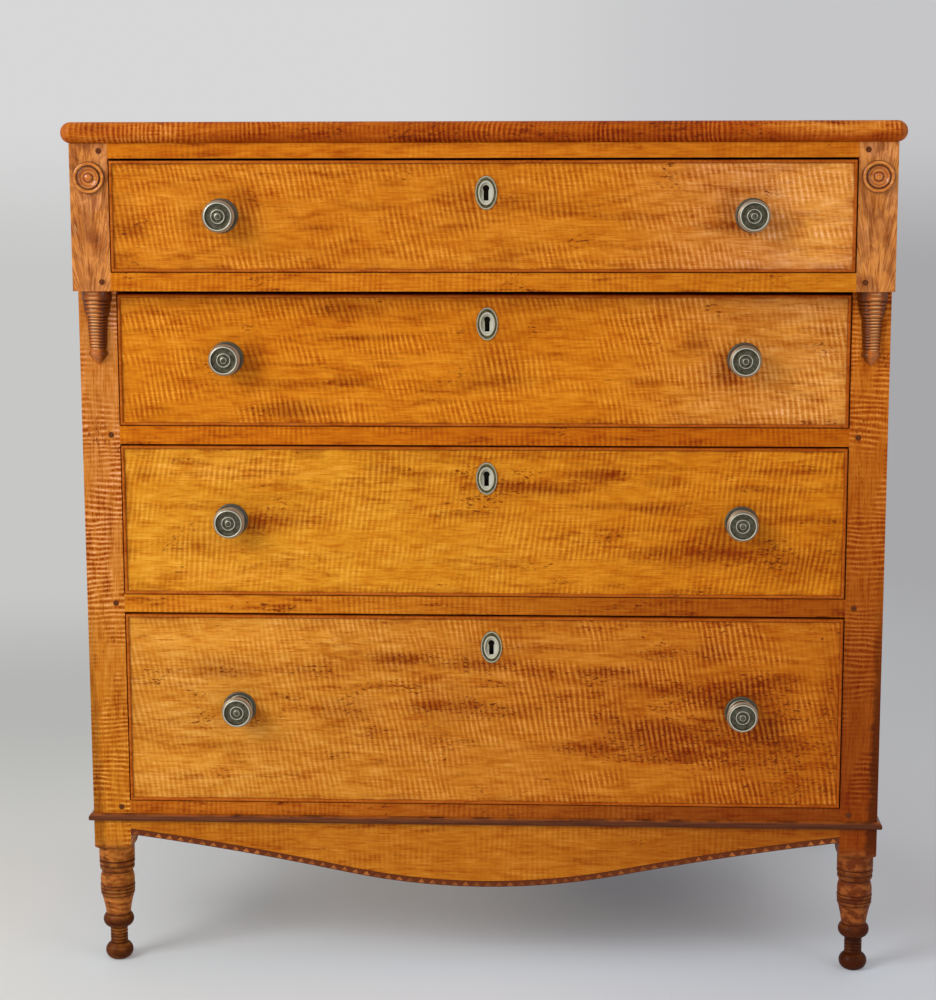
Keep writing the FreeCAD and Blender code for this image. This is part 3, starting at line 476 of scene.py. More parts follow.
def curly_maple(name, wood, figure, along, patches=()):
    """Curly maple. Its local x runs along the grain; the curl crosses it."""
    finish = Finish(
        name, roughness=0.42, coat_weight=wood.gloss, coat_roughness=0.2, specular_ior_level=0.05
    )
    local, board = saw(finish, along, figure.seed, (1.37, 0.71, 2.13))
    length, _, _ = finish.split(local)
    reach = length.smooth(*figure.span)
    wave = curl_wave(finish, board, wood, figure)
    smear = finish.noise(board, (30, 30, 6))
    dash = finish.noise(board, (6, 4, 1.9), 2)
    grain = finish.noise(board, (34, 6, 2.2), 3, 0.65)
    tone = finish.noise(board, (230, 90, 46), 3, 0.5)
    ground = finish.blend(reach, tint(*figure.low), tint(*figure.high))
    colour = finish.shade(tone.smooth(0.38, 0.66) * 0.35, ground, LIGHTER)
    band = finish.noise(board, (120, 60, 15), 4, 0.58, 0.3).smooth(0.49, 0.66)
    mass = band * (0.2 + 0.8 * smear.smooth(0.38, 0.6)) * figure.band
    fray = (smear - 0.5) * 1.8 + (dash - 0.5) * 1.1
    colour, mass = lay_patches(finish, wood, patches, fray, colour, mass)
    trough = (0 - wave).smooth(-0.3, 0.9)
    deep = finish.blend(0.85, ground, wood.curl)
    colour = finish.blend(mass * (0.6 + 0.35 * trough), colour, deep)
    flush = finish.noise(board, (26, 26, 9), 3, 0.6, 0.3)
    colour = finish.shade(flush.smooth(0.5, 0.66) * (0.45 + 0.55 * mass), colour, RUDDIER)
    colour = finish.shade((1 - flush).smooth(0.5, 0.68) * 0.45, colour, LIGHTER)
    colour = finish.shade(smear.smooth(0.5, 0.72) * (0.2 + 0.5 * mass), colour, DARKER)
    colour = finish.shade((1 - smear).smooth(0.52, 0.74) * 0.3, colour, LIGHTER)
    strength = figure.curl[0] + reach * (figure.curl[1] - figure.curl[0])
    colour = lay_curl(finish, board, wave.smooth(0.5, 1.0), trough, dash, mass, strength, colour)
    colour = finish.shade(grain.smooth(0.5, 0.66) * 0.5, colour, DARKER)
    colour = finish.shade((1 - grain).smooth(0.52, 0.68) * 0.5, colour, LIGHTER)
    colour = finish.blend(flecks(finish, board, mass, figure.fleck) * 0.9, colour, wood.stain)
    finish.feed(base_color=colour, roughness=0.34 + 0.16 * grain + 0.08 * smear)
    finish.bump(grain * 0.5 + dash * 0.2 + tone * 1.6, 0.25 * MM, 0.5)
    return finish


def lay_patches(finish, wood, patches, fray, colour, mass):
    """Adds the dark patches to the dark masses, and blends the pale ones into the colour."""
    for x, z, half_width, half_height, strength in patches:
        radius = finish.oval((x * MM, 0, z * MM), half_width, half_height)
        cover = 1 - (radius + fray).smooth(0.4, 1.4)
        if strength > 0:
            mass = mass + cover * strength
        else:
            colour = finish.blend(cover * -strength, colour, wood.light)
    return colour, mass.least(1.4)


def lay_curl(finish, board, crest, trough, dash, mass, strength, colour):
    """Dark troughs and pale crests, broken into short dashes and stronger in places."""
    shown = finish.noise(board, (80, 60, 36), 2, 0.5).smooth(0.4, 0.62)
    broken = dash.smooth(0.36, 0.6)
    curl = trough * (0.1 + shown + 0.5 * mass) * (0.3 + 0.7 * broken)
    ridge = crest * (0.15 + shown) * (0.6 + 0.4 * broken)
    for _ in range(2):
        colour = finish.shade((curl * strength * 0.75).least(1), colour, DARKER)
        colour = finish.shade((ridge * strength).least(1), colour, LIGHTER)
    return colour


def flecks(finish, board, mass, amount):
    """1 in small dark flecks, which gather in the dark masses."""
    speck = finish.noise(board, (7, 4, 2.8), 2)
    density = finish.noise(board, (60, 40, 36), 2, 0.5)
    where = (density + mass * 0.28 * amount + 0.03 * amount).smooth(0.6, 0.78)
    return (speck + where * 0.06).smooth(0.62, 0.69) * where


def pine(name, wood, along, seed, dust=0.3):
    """Plain sawn pine: straight late wood, uneven tone and grey dust."""
    finish = Finish(name, roughness=0.72, specular_ior_level=0.25)
    _, board = saw(finish, along, seed, (1.9, 0.83, 1.27))
    bend = finish.noise(board, (400, 100, 60), 2, 0.5)
    late = finish.noise(board, (900, 14, 5), 3, 0.6, 0.4)
    rings = ((late * 46 + bend * 9).sine() * 0.5 + 0.5).smooth(0.3, 0.95)
    fibre = finish.noise(board, (60, 1.2, 0.9), 3, 0.65)
    dirt = finish.noise(board, (120, 120, 120), 4).smooth(0.4, 0.75)
    colour = finish.blend(rings * 0.7, wood.pine, wood.pine_late)
    colour = finish.blend(fibre.smooth(0.5, 0.8) * 0.4, colour, wood.pine_late)
    colour = finish.blend(dirt * dust, colour, wood.old_polish_and_shade)
    finish.feed(base_color=colour, roughness=0.62 + 0.25 * fibre)
    finish.bump(fibre + rings * 0.4, 0.3 * MM, 0.6)
    return finish


def turned_wood(name, wood, rings):
    """Glossy red-brown turning with old polish and painted shade in its grooves."""
    finish = Finish(
        name, roughness=0.3, coat_weight=0.35, coat_roughness=0.06, specular_ior_level=0.06
    )
    figure = finish.noise(finish.coordinates, (5, 5, 40), 4, 0.6, 0.5)
    fine = finish.noise(finish.coordinates, (1.6, 1.6, 12))
    colour = finish.blend(figure.smooth(0.35, 0.68), wood.turning, wood.feather)
    colour = finish.blend(fine.smooth(0.5, 0.8) * 0.5, colour, wood.old_polish_and_shade)
    _, _, z = finish.axes()
    finish.feed(
        base_color=darken_rings(finish, colour, z, rings, wood.old_polish_and_shade), roughness=0.22 + 0.2 * fine
    )
    finish.bump(fine, 0.2 * MM, 0.4)
    return finish


COCK_BEAD_WIDTH = 3.5  # In mm
KEYHOLE_HEIGHT_TO_WIDTH = 1.7
# The four drawer fronts, from the top down; their ends are left and right
FRONTS = {
    1: Figure(3.3, (204, 120, 20), (213, 139, 64), (0.12, 0.45), -12, (0.48, 0.42), fleck=0.4),
    2: Figure(6.6, (208, 122, 16), (210, 135, 48), (0.12, 0.45), -12, (0.55, 0.45), fleck=0.4),
    3: Figure(9.9, (215, 139, 26), (203, 119, 14), (-0.2, 0.3), 8, (0.3, 0.4), fleck=0.65),
    4: Figure(13.2, (208, 135, 38), (190, 106, 16), slant=-10, curl=(0.26, 0.7), fleck=1.3),
}
# Darker patches of the drawer fronts, chosen one by one: place across and up, half width and half
# height in mm, and strength. Where the strength is negative, the patch is lighter. Most are dark
# figure; round the knobs they are partly stain and partly painted shadow of the knobs, and the pale
# patches at the right ends of the two upper fronts are painted glare.
FRONT_PATCHES = {
    1: (
        (-436, 968, 25, 11, 0.75), (-447, 934, 18, 8, 0.6), (-458, 1005, 8, 33, 0.3),
        (-342, 985, 28, 13, 0.3), (-294, 1000, 22, 20, 0.8), (-139, 996, 46, 6, 0.5),
        (-105, 1025, 23, 8, 0.3), (-199, 971, 38, 5, 0.35), (-38, 970, 38, 6, 0.3),
        (61, 1000, 51, 14, 0.4), (30, 943, 51, 18, 0.25), (181, 983, 38, 5, 0.55),
        (110, 987, 51, 4, 0.4), (292, 973, 30, 8, 0.55), (318, 1016, 23, 6, 0.4),
        (319, 970, 25, 9, 0.5), (-391, 1023, 38, 6, 0.3), (-224, 937, 114, 13, 0.22),
        (421, 1016, 51, 38, -0.5), (417, 955, 43, 28, -0.5), (-7, 1004, 53, 35, 0.4),
        (304, 996, 14, 22, 0.65), (-440, 992, 14, 24, 0.35),
    ),
    2: (
        (-172, 864, 46, 12, 0.8), (-143, 831, 59, 5, 0.6), (-223, 847, 26, 6, 0.3),
        (-293, 800, 21, 18, 0.65), (-230, 772, 67, 6, 0.65), (-164, 774, 33, 6, 0.7),
        (-250, 739, 44, 10, 0.65), (-422, 739, 33, 10, 0.4), (21, 788, 46, 23, 0.3),
        (10, 772, 51, 10, 0.3), (73, 856, 77, 31, 0.22), (270, 827, 18, 13, 0.6),
        (314, 797, 18, 23, 0.6), (209, 776, 28, 6, 0.5), (-78, 854, 31, 8, 0.4),
        (348, 857, 77, 8, 0.35), (398, 823, 64, 6, 0.3), (424, 767, 46, 33, -0.35),
        (397, 842, 39, 10, -0.3), (10, 822, 46, 33, 0.3), (-235, 738, 64, 13, 0.4),
        (305, 792, 26, 23, 0.5), (-288, 818, 18, 14, 0.5),
    ),
    3: (
        (-123, 665, 28, 6, 0.65), (-66, 658, 44, 5, 0.45), (74, 642, 80, 8, 0.8),
        (153, 656, 36, 10, 0.95), (232, 649, 28, 9, 0.55), (99, 682, 90, 5, 0.4),
        (-252, 627, 57, 5, 0.4), (-295, 595, 21, 18, 0.6), (-233, 603, 44, 15, 0.35),
        (-349, 564, 64, 15, 0.35), (-431, 656, 15, 10, 0.4), (-373, 672, 28, 6, 0.35),
        (175, 617, 77, 5, 0.6), (226, 613, 31, 6, 0.6), (315, 575, 54, 26, 0.7),
        (211, 559, 33, 8, 0.35), (303, 552, 129, 13, 0.4), (391, 537, 64, 21, 0.5),
        (389, 663, 51, 5, 0.6), (364, 640, 64, 5, 0.5), (403, 601, 59, 8, 0.6),
        (352, 616, 44, 6, 0.55), (-15, 605, 64, 6, 0.35), (441, 569, 28, 39, 0.4),
        (-322, 662, 116, 15, -0.3), (-337, 525, 103, 13, -0.25), (6, 643, 44, 28, 0.45),
        (265, 555, 54, 21, 0.35), (-271, 597, 28, 18, 0.5), (367, 498, 77, 8, 0.5),
        (143, 658, 50, 8, 0.5), (75, 634, 40, 8, 0.4), (-60, 680, 90, 8, 0.35),
    ),
    4: (
        (-99, 418, 41, 8, 0.75), (-16, 408, 57, 6, 0.6), (74, 401, 31, 8, 0.6),
        (158, 402, 39, 6, 0.75), (100, 433, 77, 5, 0.3), (234, 425, 33, 10, 0.6),
        (294, 429, 31, 13, 0.6), (344, 346, 59, 46, 0.75), (377, 391, 39, 12, 0.6),
        (396, 308, 33, 13, 0.5), (358, 287, 77, 36, 0.5), (139, 300, 46, 9, 0.75),
        (260, 290, 21, 10, 0.9), (204, 288, 77, 6, 0.5), (-171, 351, 46, 18, 0.4),
        (-55, 355, 46, 8, 0.4), (23, 350, 51, 12, 0.5), (-302, 339, 21, 15, 0.55),
        (-342, 300, 44, 5, 0.5), (446, 341, 18, 103, 0.5), (100, 348, 77, 15, 0.25),
        (203, 326, 77, 21, 0.4), (229, 379, 77, 10, 0.45), (-366, 397, 77, 6, 0.3),
        (-210, 404, 64, 6, 0.4), (-68, 316, 39, 13, 0.3), (-313, 440, 142, 18, -0.45),
        (-395, 272, 77, 26, -0.2), (10, 423, 46, 26, 0.45), (-46, 355, 51, 26, 0.5),
        (240, 310, 80, 28, 0.7), (397, 248, 62, 13, 0.6), (-337, 403, 44, 15, 0.45),
        (203, 365, 103, 15, 0.2), (305, 379, 77, 18, 0.5), (318, 366, 16, 14, 0.6),
        (-112, 410, 34, 12, 0.4), (170, 396, 70, 12, 0.4),
    ),
}


class CHEST_OT_drawer_fronts(bpy.types.Operator):
    """Curly maple for the four drawer fronts"""

    bl_idname = "chest.drawer_fronts"
    bl_label = "Drawer fronts"

    def execute(self, context):
        wood = context.scene.chest_wood
        for number, figure in FRONTS.items():
            finish = curly_maple(
                f"drawer_front_{number}", wood, figure, ALONG_X, FRONT_PATCHES[number]
            )
            self.darken_edges(finish, wood, number)
            dress(finish, f"drawer_{number}_front")
        return {"FINISHED"}

    def darken_edges(self, finish, wood, number):
        """Darker along the cock beads, and painted shade inside the keyhole."""
        low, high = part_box(f"drawer_{number}_cock_beads")
        half = (high - low) / 2 / MM
        x, _, z = finish.axes(centre=(low + high) / 2)
        inset = (half.x - COCK_BEAD_WIDTH - abs(x)).least(half.z - COCK_BEAD_WIDTH - abs(z))
        worn = finish.noise(finish.coordinates, (40, 9, 40))
        line = (1 - inset.smooth(0.4, 1.8)) * (0.3 + 0.7 * worn.smooth(0.4, 0.64))
        colour = finish.blend(line * 0.6, base_colour(finish), wood.old_polish_and_shade)
        band_along_beads = (1 - inset.smooth(0, 14)) * worn.smooth(0.42, 0.66)
        colour = finish.blend(band_along_beads * 0.35, colour, wood.curl)
        # Painted shade: black on the front behind the keyhole.
        keyhole = finish.oval(middle(f"drawer_{number}_escutcheon"), 1, KEYHOLE_HEIGHT_TO_WIDTH)
        finish.feed(base_color=finish.blend(1 - keyhole.smooth(9.5, 10.5), colour, wood.keyhole_shade_and_foot_black))


class CHEST_OT_cock_beads(bpy.types.Operator):
    """Redder maple for the cock beads round the drawers"""

    bl_idname = "chest.cock_beads"
    bl_label = "Cock beads"

    def execute(self, context):
        figure = Figure(21, (178, 92, 18), (168, 82, 14), curl=(0.2, 0.2), band=0.6)
        finish = curly_maple("cock_bead", context.scene.chest_wood, figure, ALONG_X)
        dress(finish, *[f"drawer_{number}_cock_beads" for number in DRAWERS])
        return {"FINISHED"}


# Rails from the top down: screen colours at the two ends, curl, bands and flecks
RAILS = {
    "top_rail": ((200, 110, 10), (196, 108, 14), 0.15, 0.7, 0.2),
    "upper_divider": ((200, 112, 12), (196, 112, 14), 0.25, 0.9, 1.0),
    "middle_divider": ((196, 104, 6), (182, 92, 4), 0.35, 0.9, 0.5),
    "lower_divider": ((206, 122, 20), (158, 76, 4), 0.35, 1.0, 1.4),
    "bottom_rail": ((184, 98, 14), (136, 62, 8), 0.3, 0.8, 0.7),
}


class CHEST_OT_case_front(bpy.types.Operator):
    """Maple rails, dividers and apron"""

    bl_idname = "chest.case_front"
    bl_label = "Rails and apron"

    def execute(self, context):
        wood = context.scene.chest_wood
        for order, (name, (low, high, curl, band, fleck)) in enumerate(RAILS.items()):
            figure = Figure(31 + order * 2.7, low, high, curl=(curl, curl), band=band, fleck=fleck)
            dress(curly_maple(name, wood, figure, ALONG_X), name)
        figure = Figure(
            52, (186, 108, 18), (160, 84, 12), (0, 0.42), curl=(0.2, 0.2), band=0.6, fleck=0.5
        )
        dress(curly_maple("apron", wood, figure, ALONG_X), "apron")
        return {"FINISHED"}


# Patches of the top board's front edge, written as those of the drawer fronts; the pale one at the
# right end is a painted highlight
TOP_PATCHES = (
    (-455, 1090, 90, 22, -0.4),
    (440, 1096, 90, 12, -0.4),
    (-290, 1083, 60, 18, 0.4),
    (-180, 1088, 50, 16, 0.5),
    (-60, 1088, 70, 22, 0.7),
    (50, 1083, 60, 18, 0.6),
    (140, 1090, 60, 16, 0.5),
    (230, 1084, 60, 18, 0.7),
    (330, 1080, 60, 10, 0.5),
    (490, 1081, 20, 6, 0.7),
)


class CHEST_OT_top_board(bpy.types.Operator):
    """Striped maple top board"""

    bl_idname = "chest.top_board"
    bl_label = "Top board"

    def execute(self, context):
        wood = context.scene.chest_wood
        manner = {"curl": (0.8, 0.8), "band": 0.8, "pitch": 0.9, "fleck": 1, "wander": 1.4}
        figure = Figure(61, (184, 94, 10), (178, 84, 10), **manner)
        finish = curly_maple("top_board", wood, figure, ALONG_X, TOP_PATCHES)
        x, y, z = finish.axes()
        low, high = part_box("top_board")
        # Painted shade on the lower part of the front edge; the left end of the front edge is
        # darker wood.
        painted_shade_under = 1 - z.smooth(low.z / MM, high.z / MM - 6)
        left_nose = (1 - x.smooth(-460, -300)) * (1 - y.smooth(-290, -250))
        shaded = (painted_shade_under * 0.5).most(left_nose * 0.6)
        colour = finish.shade(shaded, base_colour(finish), DARKER)
        pores = finish.noise(finish.coordinates, (9, 3, 1.6))
        end_grain = finish.blend(pores.smooth(0.36, 0.64), wood.turning, wood.feather)
        ends = abs(x).smooth(high.x / MM - 12, high.x / MM - 4)
        finish.feed(base_color=finish.blend(ends * 0.85, colour, end_grain))
        dress(finish, "top_board")
        return {"FINISHED"}


# Dark bands of the turned legs, old polish with painted shade in the grooves: height, half height
# in mm, strength
LEG_BANDS = (
    (9, 26, 0.9),
    (32, 14, 0.55),
    (22, 2.6, 0.9),
    (26.2, 1.3, 0.7),
    (30.4, 1.3, 0.7),
    (34.6, 1.3, 0.7),
    (38.8, 1.3, 0.7),
    (43.5, 2.6, 0.9),
    (53, 16, 0.95),
    (62.5, 2.6, 0.9),
    (96, 13, 0.5),
    (89.5, 1.8, 0.9),
    (94.2, 1.4, 0.9),
    (98.8, 1.4, 0.9),
    (103.5, 1.8, 0.9),
    (130, 15, 0.5),
    (122.5, 2.2, 0.9),
    (130, 1.6, 0.9),
    (137.5, 2.4, 0.9),
    (158, 5, 0.6),
)
# Heights in mm where the turned leg turns into the square post, and where its foot ends
LEG_TOP = (150, 176)
FOOT_TOP = (40, 76)
# Posts: screen colours at the foot and at the head, and curl
POSTS = {
    "front_left_post": ((196, 118, 22), (200, 122, 46), 1.0),
    "front_right_post": ((136, 58, 4), (196, 108, 20), 0.8),
    "rear_left_post": ((186, 104, 16), (196, 114, 24), 0.6),
    "rear_right_post": ((170, 88, 8), (186, 104, 16), 0.6),
}


class CHEST_OT_posts(bpy.types.Operator):
    """Corner posts with their turned legs"""

    bl_idname = "chest.posts"
    bl_label = "Corner posts and legs"

    def execute(self, context):
        wood = context.scene.chest_wood
        manner = {"band": 0.6, "pitch": 0.95, "fleck": 0.7, "wander": 1.8}
        for order, (name, (low, high, curl)) in enumerate(POSTS.items()):
            figure = Figure(71 + order * 3.1, low, high, (0.2, 0.9), curl=(curl, curl), **manner)
            finish = curly_maple(name, wood, figure, ALONG_Z)
            self.darken_leg(finish, wood, 0.7 if "left" in name else 1.0)
            dress(finish, name)
        return {"FINISHED"}

    def darken_leg(self, finish, wood, age):
        """Darker towards the post's outer edge low down; old red-brown polish on the turned leg,
        darkest in its grooves, where shade is painted too, and at its foot.
        """
        x, _, z = finish.axes()
        mottle = finish.noise(finish.coordinates, (14, 14, 9), 4)
        outer_edge_darkening = (abs(x) + mottle * 16 - z * 0.024).smooth(496, 504) * (1 - z.smooth(300, 620))
        colour = finish.blend(outer_edge_darkening * age * age * 0.8, base_colour(finish), wood.old_polish_and_shade)
        leg = 1 - z.smooth(*LEG_TOP)
        worn = finish.blend(mottle.smooth(0.42, 0.62), wood.turned, wood.leg)
        colour = finish.blend(leg * 0.6, colour, worn)
        polish = leg * (0.4 + 0.6 * mottle.smooth(0.4, 0.6))
        colour = finish.blend(polish * (1.6 * age - 0.9), colour, wood.leg)
        foot = (1 - z.smooth(*FOOT_TOP)) * (0.7 + 0.3 * mottle.smooth(0.35, 0.6))
        colour = finish.blend(foot * (2.4 * age - 1.45), colour, wood.keyhole_shade_and_foot_black)
        uneven = 0.75 + 0.5 * mottle
        finish.feed(base_color=darken_rings(finish, colour, z, LEG_BANDS, wood.old_polish_and_shade, uneven))


class CHEST_OT_case_ends(bpy.types.Operator):
    """Maple end panels and end rails"""

    bl_idname = "chest.case_ends"
    bl_label = "Ends"

    def execute(self, context):
        wood = context.scene.chest_wood
        panel = Figure(91, (200, 118, 20), (206, 124, 24), (0.2, 0.9), 6, (0.5, 0.5), 0.55)
        dress(curly_maple("end_panel", wood, panel, ALONG_Z), "end_panels")
        rail = Figure(95, (192, 108, 16), (198, 114, 20), curl=(0.4, 0.4), band=0.6)
        dress(curly_maple("end_rail", wood, rail, ALONG_Y), "end_rails")
        return {"FINISHED"}


# Darker patches of the corner blocks, written as those of the drawer fronts
BLOCK_PATCHES = (
    (-477, 953, 10, 14, 1.0),
    (-489, 916, 6, 6, 0.6),
    (-503, 1060, 5, 26, 0.7),
    (-496, 970, 12, 26, 0.7),
    (498, 958, 6, 14, 0.9),
    (487, 989, 9, 14, 0.5),
    (470, 903, 8, 10, 0.9),
    (473, 998, 6, 20, 0.5),
    (-486, 1005, 14, 12, -0.5),
    (-469, 1048, 10, 18, -0.3),
    (489, 1062, 18, 11, -0.5),
    (503, 1004, 6, 20, -0.4),
)
BLOCK_HALF_WIDTH = 24  # In mm


class CHEST_OT_corner_blocks(bpy.types.Operator):
    """Crotch figured blocks at the upper corners"""

    bl_idname = "chest.corner_blocks"
    bl_label = "Corner blocks"

    def execute(self, context):
        wood = context.scene.chest_wood
        finish = Finish(
            "crotch_block", roughness=0.36, coat_weight=wood.gloss, specular_ior_level=0.12
        )
        swept = self.fan(finish)
        cloud = finish.noise(finish.coordinates, (16, 24, 26), 3, 0.6, 0.8)
        streak = finish.noise(swept, (3, 9, 46), 3, 0.55, 0.3, unit=1, centre=(90, 0, 40))
        fine = finish.noise(swept, (1.3, 4, 20), 3, 0.6, 0.4, unit=1)
        colour = finish.blend(cloud.smooth(0.4, 0.6) * 0.6, wood.crotch, wood.feather)
        for x, z, half_width, half_height, strength in BLOCK_PATCHES:
            radius = finish.oval((x * MM, 0, z * MM), half_width, half_height)
            cover = 1 - (radius + (streak - 0.5) * 2).smooth(0.4, 1.5)
            gain = DUSKIER if strength > 0 else LIGHTER
            colour = finish.shade(cover * abs(strength), colour, gain)
        colour = finish.shade(streak.smooth(0.5, 0.6) * 0.45, colour, DUSKIER)
        colour = finish.shade(fine.smooth(0.5, 0.6) * 0.85, colour, DUSKIER)
        colour = finish.shade((1 - fine).smooth(0.52, 0.7) * 0.5, colour, LIGHTER)
        plume = finish.noise(swept, (4.4, 9, 120), 0, 0.5, unit=1).pulse(0.5, 0.025)
        line = plume * cloud.smooth(0.38, 0.56) * (0.1 + 0.9 * self.lower(finish))
        colour = finish.blend(line * 0.65, colour, wood.plume)
        finish.feed(base_color=colour, roughness=0.3 + 0.2 * fine)
        finish.bump(fine, 0.2 * MM, 0.4)
        dress(finish, "corner_blocks")
        return {"FINISHED"}

    def fan(self, finish):
        """Places in mm, spread upwards and outwards from a block's foot like a feather."""
        x, y, z = finish.axes()
        across = abs(x) - stand_off("corner_blocks", BLOCK_HALF_WIDTH)
        spread = across * 60 / (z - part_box("corner_blocks")[0].z / MM + 40)
        return finish.join(spread, y, z - abs(across) * 2.4)

    def lower(self, finish):
        """1 in the lower part of a block, where its pale feathers show."""
        _, _, z = finish.axes()
        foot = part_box("corner_blocks")[0].z / MM
        return 1 - z.smooth(foot + 50, foot + 130)


# Pendants, in mm down from their top: the rings of the stepped head, then those of the stem
PENDANT_HALF_WIDTH = 17
HEAD_TOP = 13
HEAD_PITCH = 5.25
STEM_TOP = 34
STEM_PITCH = 3.9
ROUNDEL_RADIUS = 20  # In mm
# Grooves of the roundels: radius, half width in mm, strength. They hold old polish and painted
# shade;
# the last, at the rim, is a painted contact shadow.
ROUNDEL_GROOVES = ((5.6, 1.5, 0.9), (10.2, 1.1, 0.6), (13.8, 1.9, 1), (20, 1.9, 0.9))


def waves(place, pitch):
    """Waves of this pitch, from 0 to 1."""
    return (place * (math.tau / pitch)).sine() * 0.5 + 0.5


class CHEST_OT_turnings(bpy.types.Operator):
    """Roundels and pendants"""

    bl_idname = "chest.turnings"
    bl_label = "Roundels and pendants"

    def execute(self, context):
        wood = context.scene.chest_wood
        dress(self.pendant(wood), "pendants")
        dress(self.roundel(wood), "roundels")
        return {"FINISHED"}

    def pendant(self, wood):
        """A stepped head above a ringed stem, with painted shade at the sides and a painted
        highlight along the middle.
        """
        low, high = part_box("pendants")
        top = high.z / MM
        rings = [(top - HEAD_TOP, 2.2, 1.0)]
        rings += [(top - HEAD_TOP - HEAD_PITCH * step, 1.9, 1.0) for step in range(1, 4)]
        rings += [(top - STEM_TOP - STEM_PITCH * step, 1.5, 1.0) for step in range(11)]
        finish = turned_wood("pendant", wood, rings)
        x, _, z = finish.axes()
        half_width = 10 + (z - low.z / MM) * 0.075
        reach = abs(abs(x) - (high.x / MM - PENDANT_HALF_WIDTH)) / half_width
        down = top - z
        head = waves(down - HEAD_TOP, HEAD_PITCH) * (1 - down.smooth(31, 33))
        stem = waves(down - STEM_TOP, STEM_PITCH) * down.smooth(32, 34)
        crest = (head + stem * (1 - down.smooth(74, 78))).smooth(0.5, 1)
        # Painted highlight along the middle, strongest on the rings, and painted shade towards the
        # sides.
        lit = (1 - reach.smooth(0.1, 0.55)) * (0.1 + 0.9 * crest)
        colour = finish.blend(reach.smooth(0.3, 0.9) * 0.8, base_colour(finish), wood.old_polish_and_shade)
        finish.feed(base_color=finish.blend(lit * 0.8, colour, wood.plume))
        return finish

    def roundel(self, wood):
        """Orange rings with dark grooves, a painted shadow round the rim, and a redder middle."""
        finish = Finish(
            "roundel", roughness=0.28, coat_weight=0.8, coat_roughness=0.08, specular_ior_level=0.06
        )
        radius = axis_distance(finish, "roundels", ROUNDEL_RADIUS)
        figure = finish.noise(finish.coordinates, (20, 20, 3), 4, 0.6, 0.4)
        colour = finish.blend(figure.smooth(0.36, 0.66), wood.rim, wood.turning)
        colour = finish.blend((1 - radius.smooth(12, 14.5)) * 0.3, colour, wood.turning)
        colour = darken_rings(finish, colour, radius, ROUNDEL_GROOVES, wood.old_polish_and_shade)
        finish.feed(base_color=colour, roughness=0.2 + 0.2 * figure)
        finish.bump(figure, 0.15 * MM, 0.4)
        return finish


class CHEST_OT_beads_and_pegs(bpy.types.Operator):
    """Dark base bead and the ends of the joint pegs"""

    bl_idname = "chest.beads_and_pegs"
    bl_label = "Base bead and pegs"

    def execute(self, context):
        wood = context.scene.chest_wood
        dress(self.base_bead(wood), "base_bead")
        dress(self.peg(wood), "joint_pegs")
        return {"FINISHED"}

    def base_bead(self, wood):
        """Dark polish, darker to the right, with painted shade below and a painted highlight along
        the top.
        """
        gloss = {"roughness": 0.34, "coat_weight": 0.2, "coat_roughness": 0.15}
        finish = Finish("base_bead", specular_ior_level=0.12, **gloss)
        x, _, z = finish.axes()
        streak = finish.noise(finish.coordinates, (60, 60, 1.6), 4)
        wear = finish.noise(finish.coordinates, (30, 30, 12))
        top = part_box("base_bead")[1].z / MM
        colour = finish.blend(streak.smooth(0.35, 0.7), wood.edge, wood.old_polish_and_shade)
        colour = finish.blend(x.smooth(-200, 500) * 0.45, colour, wood.old_polish_and_shade)
        # Painted highlight along the top, broken up by noise.
        painted_top_highlight = z.smooth(top - 3.4, top - 0.4) * wear.smooth(0.35, 0.6)
        colour = finish.blend(painted_top_highlight * 0.5, colour, wood.turning)
        # Painted shade on the lower part of the bead.
        colour = finish.blend((1 - z.smooth(top - 8.5, top - 5)) * 0.6, colour, wood.old_polish_and_shade)
        finish.feed(base_color=colour, roughness=0.28 + 0.2 * wear)
        finish.bump(streak, 0.2 * MM, 0.5)
        return finish

    def peg(self, wood):
        """End grain of the pegs."""
        finish = Finish("peg", roughness=0.5, specular_ior_level=0.12)
        pores = finish.noise(finish.coordinates, (0.9, 0.9, 0.9))
        colour = finish.blend(pores.smooth(0.3, 0.7), wood.edge, wood.old_polish_and_shade)
        finish.feed(base_color=colour, roughness=0.4 + 0.3 * pores)
        finish.bump(pores, 0.2 * MM, 0.6)
        return finish


class CHEST_OT_inner_woods(bpy.types.Operator):
    """Pine inside and behind the case"""

    bl_idname = "chest.inner_woods"
    bl_label = "Inner woods"

    def execute(self, context):
        wood = context.scene.chest_wood
        dress(pine("back_board", wood, ALONG_X, 3, 0.45), "back_boards")
        dress(pine("back_rail", wood, ALONG_X, 5, 0.45), "back_rails")
        runner = pine("runner", wood, ALONG_Y, 7)
        dress(runner, "drawer_runners", "drawer_guides", "drawer_stops")
        linings = {
            "sides": pine("drawer_side", wood, ALONG_Y, 11, 0.2),
            "back": pine("drawer_back", wood, ALONG_X, 13, 0.2),
            "bottom": pine("drawer_bottom", wood, ALONG_X, 17, 0.25),
        }
        for part, finish in linings.items():
            dress(finish, *[f"drawer_{number}_{part}" for number in DRAWERS])
        return {"FINISHED"}


# ---------------------------------------------------------------------------------------------
# Banding
# ---------------------------------------------------------------------------------------------

BANDING_WIDTH = 8 * MM


def lower_edge(name):
    """Points of a part's lower front edge, from left to right."""
    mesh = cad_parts[name].data
    front = min(vertex.co.y for vertex in mesh.vertices)
    lowest = {}
    for vertex in mesh.vertices:
        if vertex.co.y < front + 0.1 * MM:
            key = round(vertex.co.x, 4)
            lowest[key] = min(vertex.co.z, lowest.get(key, vertex.co.z))
    return [(x, lowest[x]) for x in sorted(lowest)]


def merged_copy(name, source):
    """A copy of a part's mesh with its loose triangles joined."""
    shape = bmesh.new()
    shape.from_mesh(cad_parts[source].data)
    bmesh.ops.remove_doubles(shape, verts=shape.verts, dist=0.01 * MM)
    bmesh.ops.recalc_face_normals(shape, faces=shape.faces)
    mesh = bpy.data.meshes.new(name)
    shape.to_mesh(mesh)
    shape.free()
    return mesh


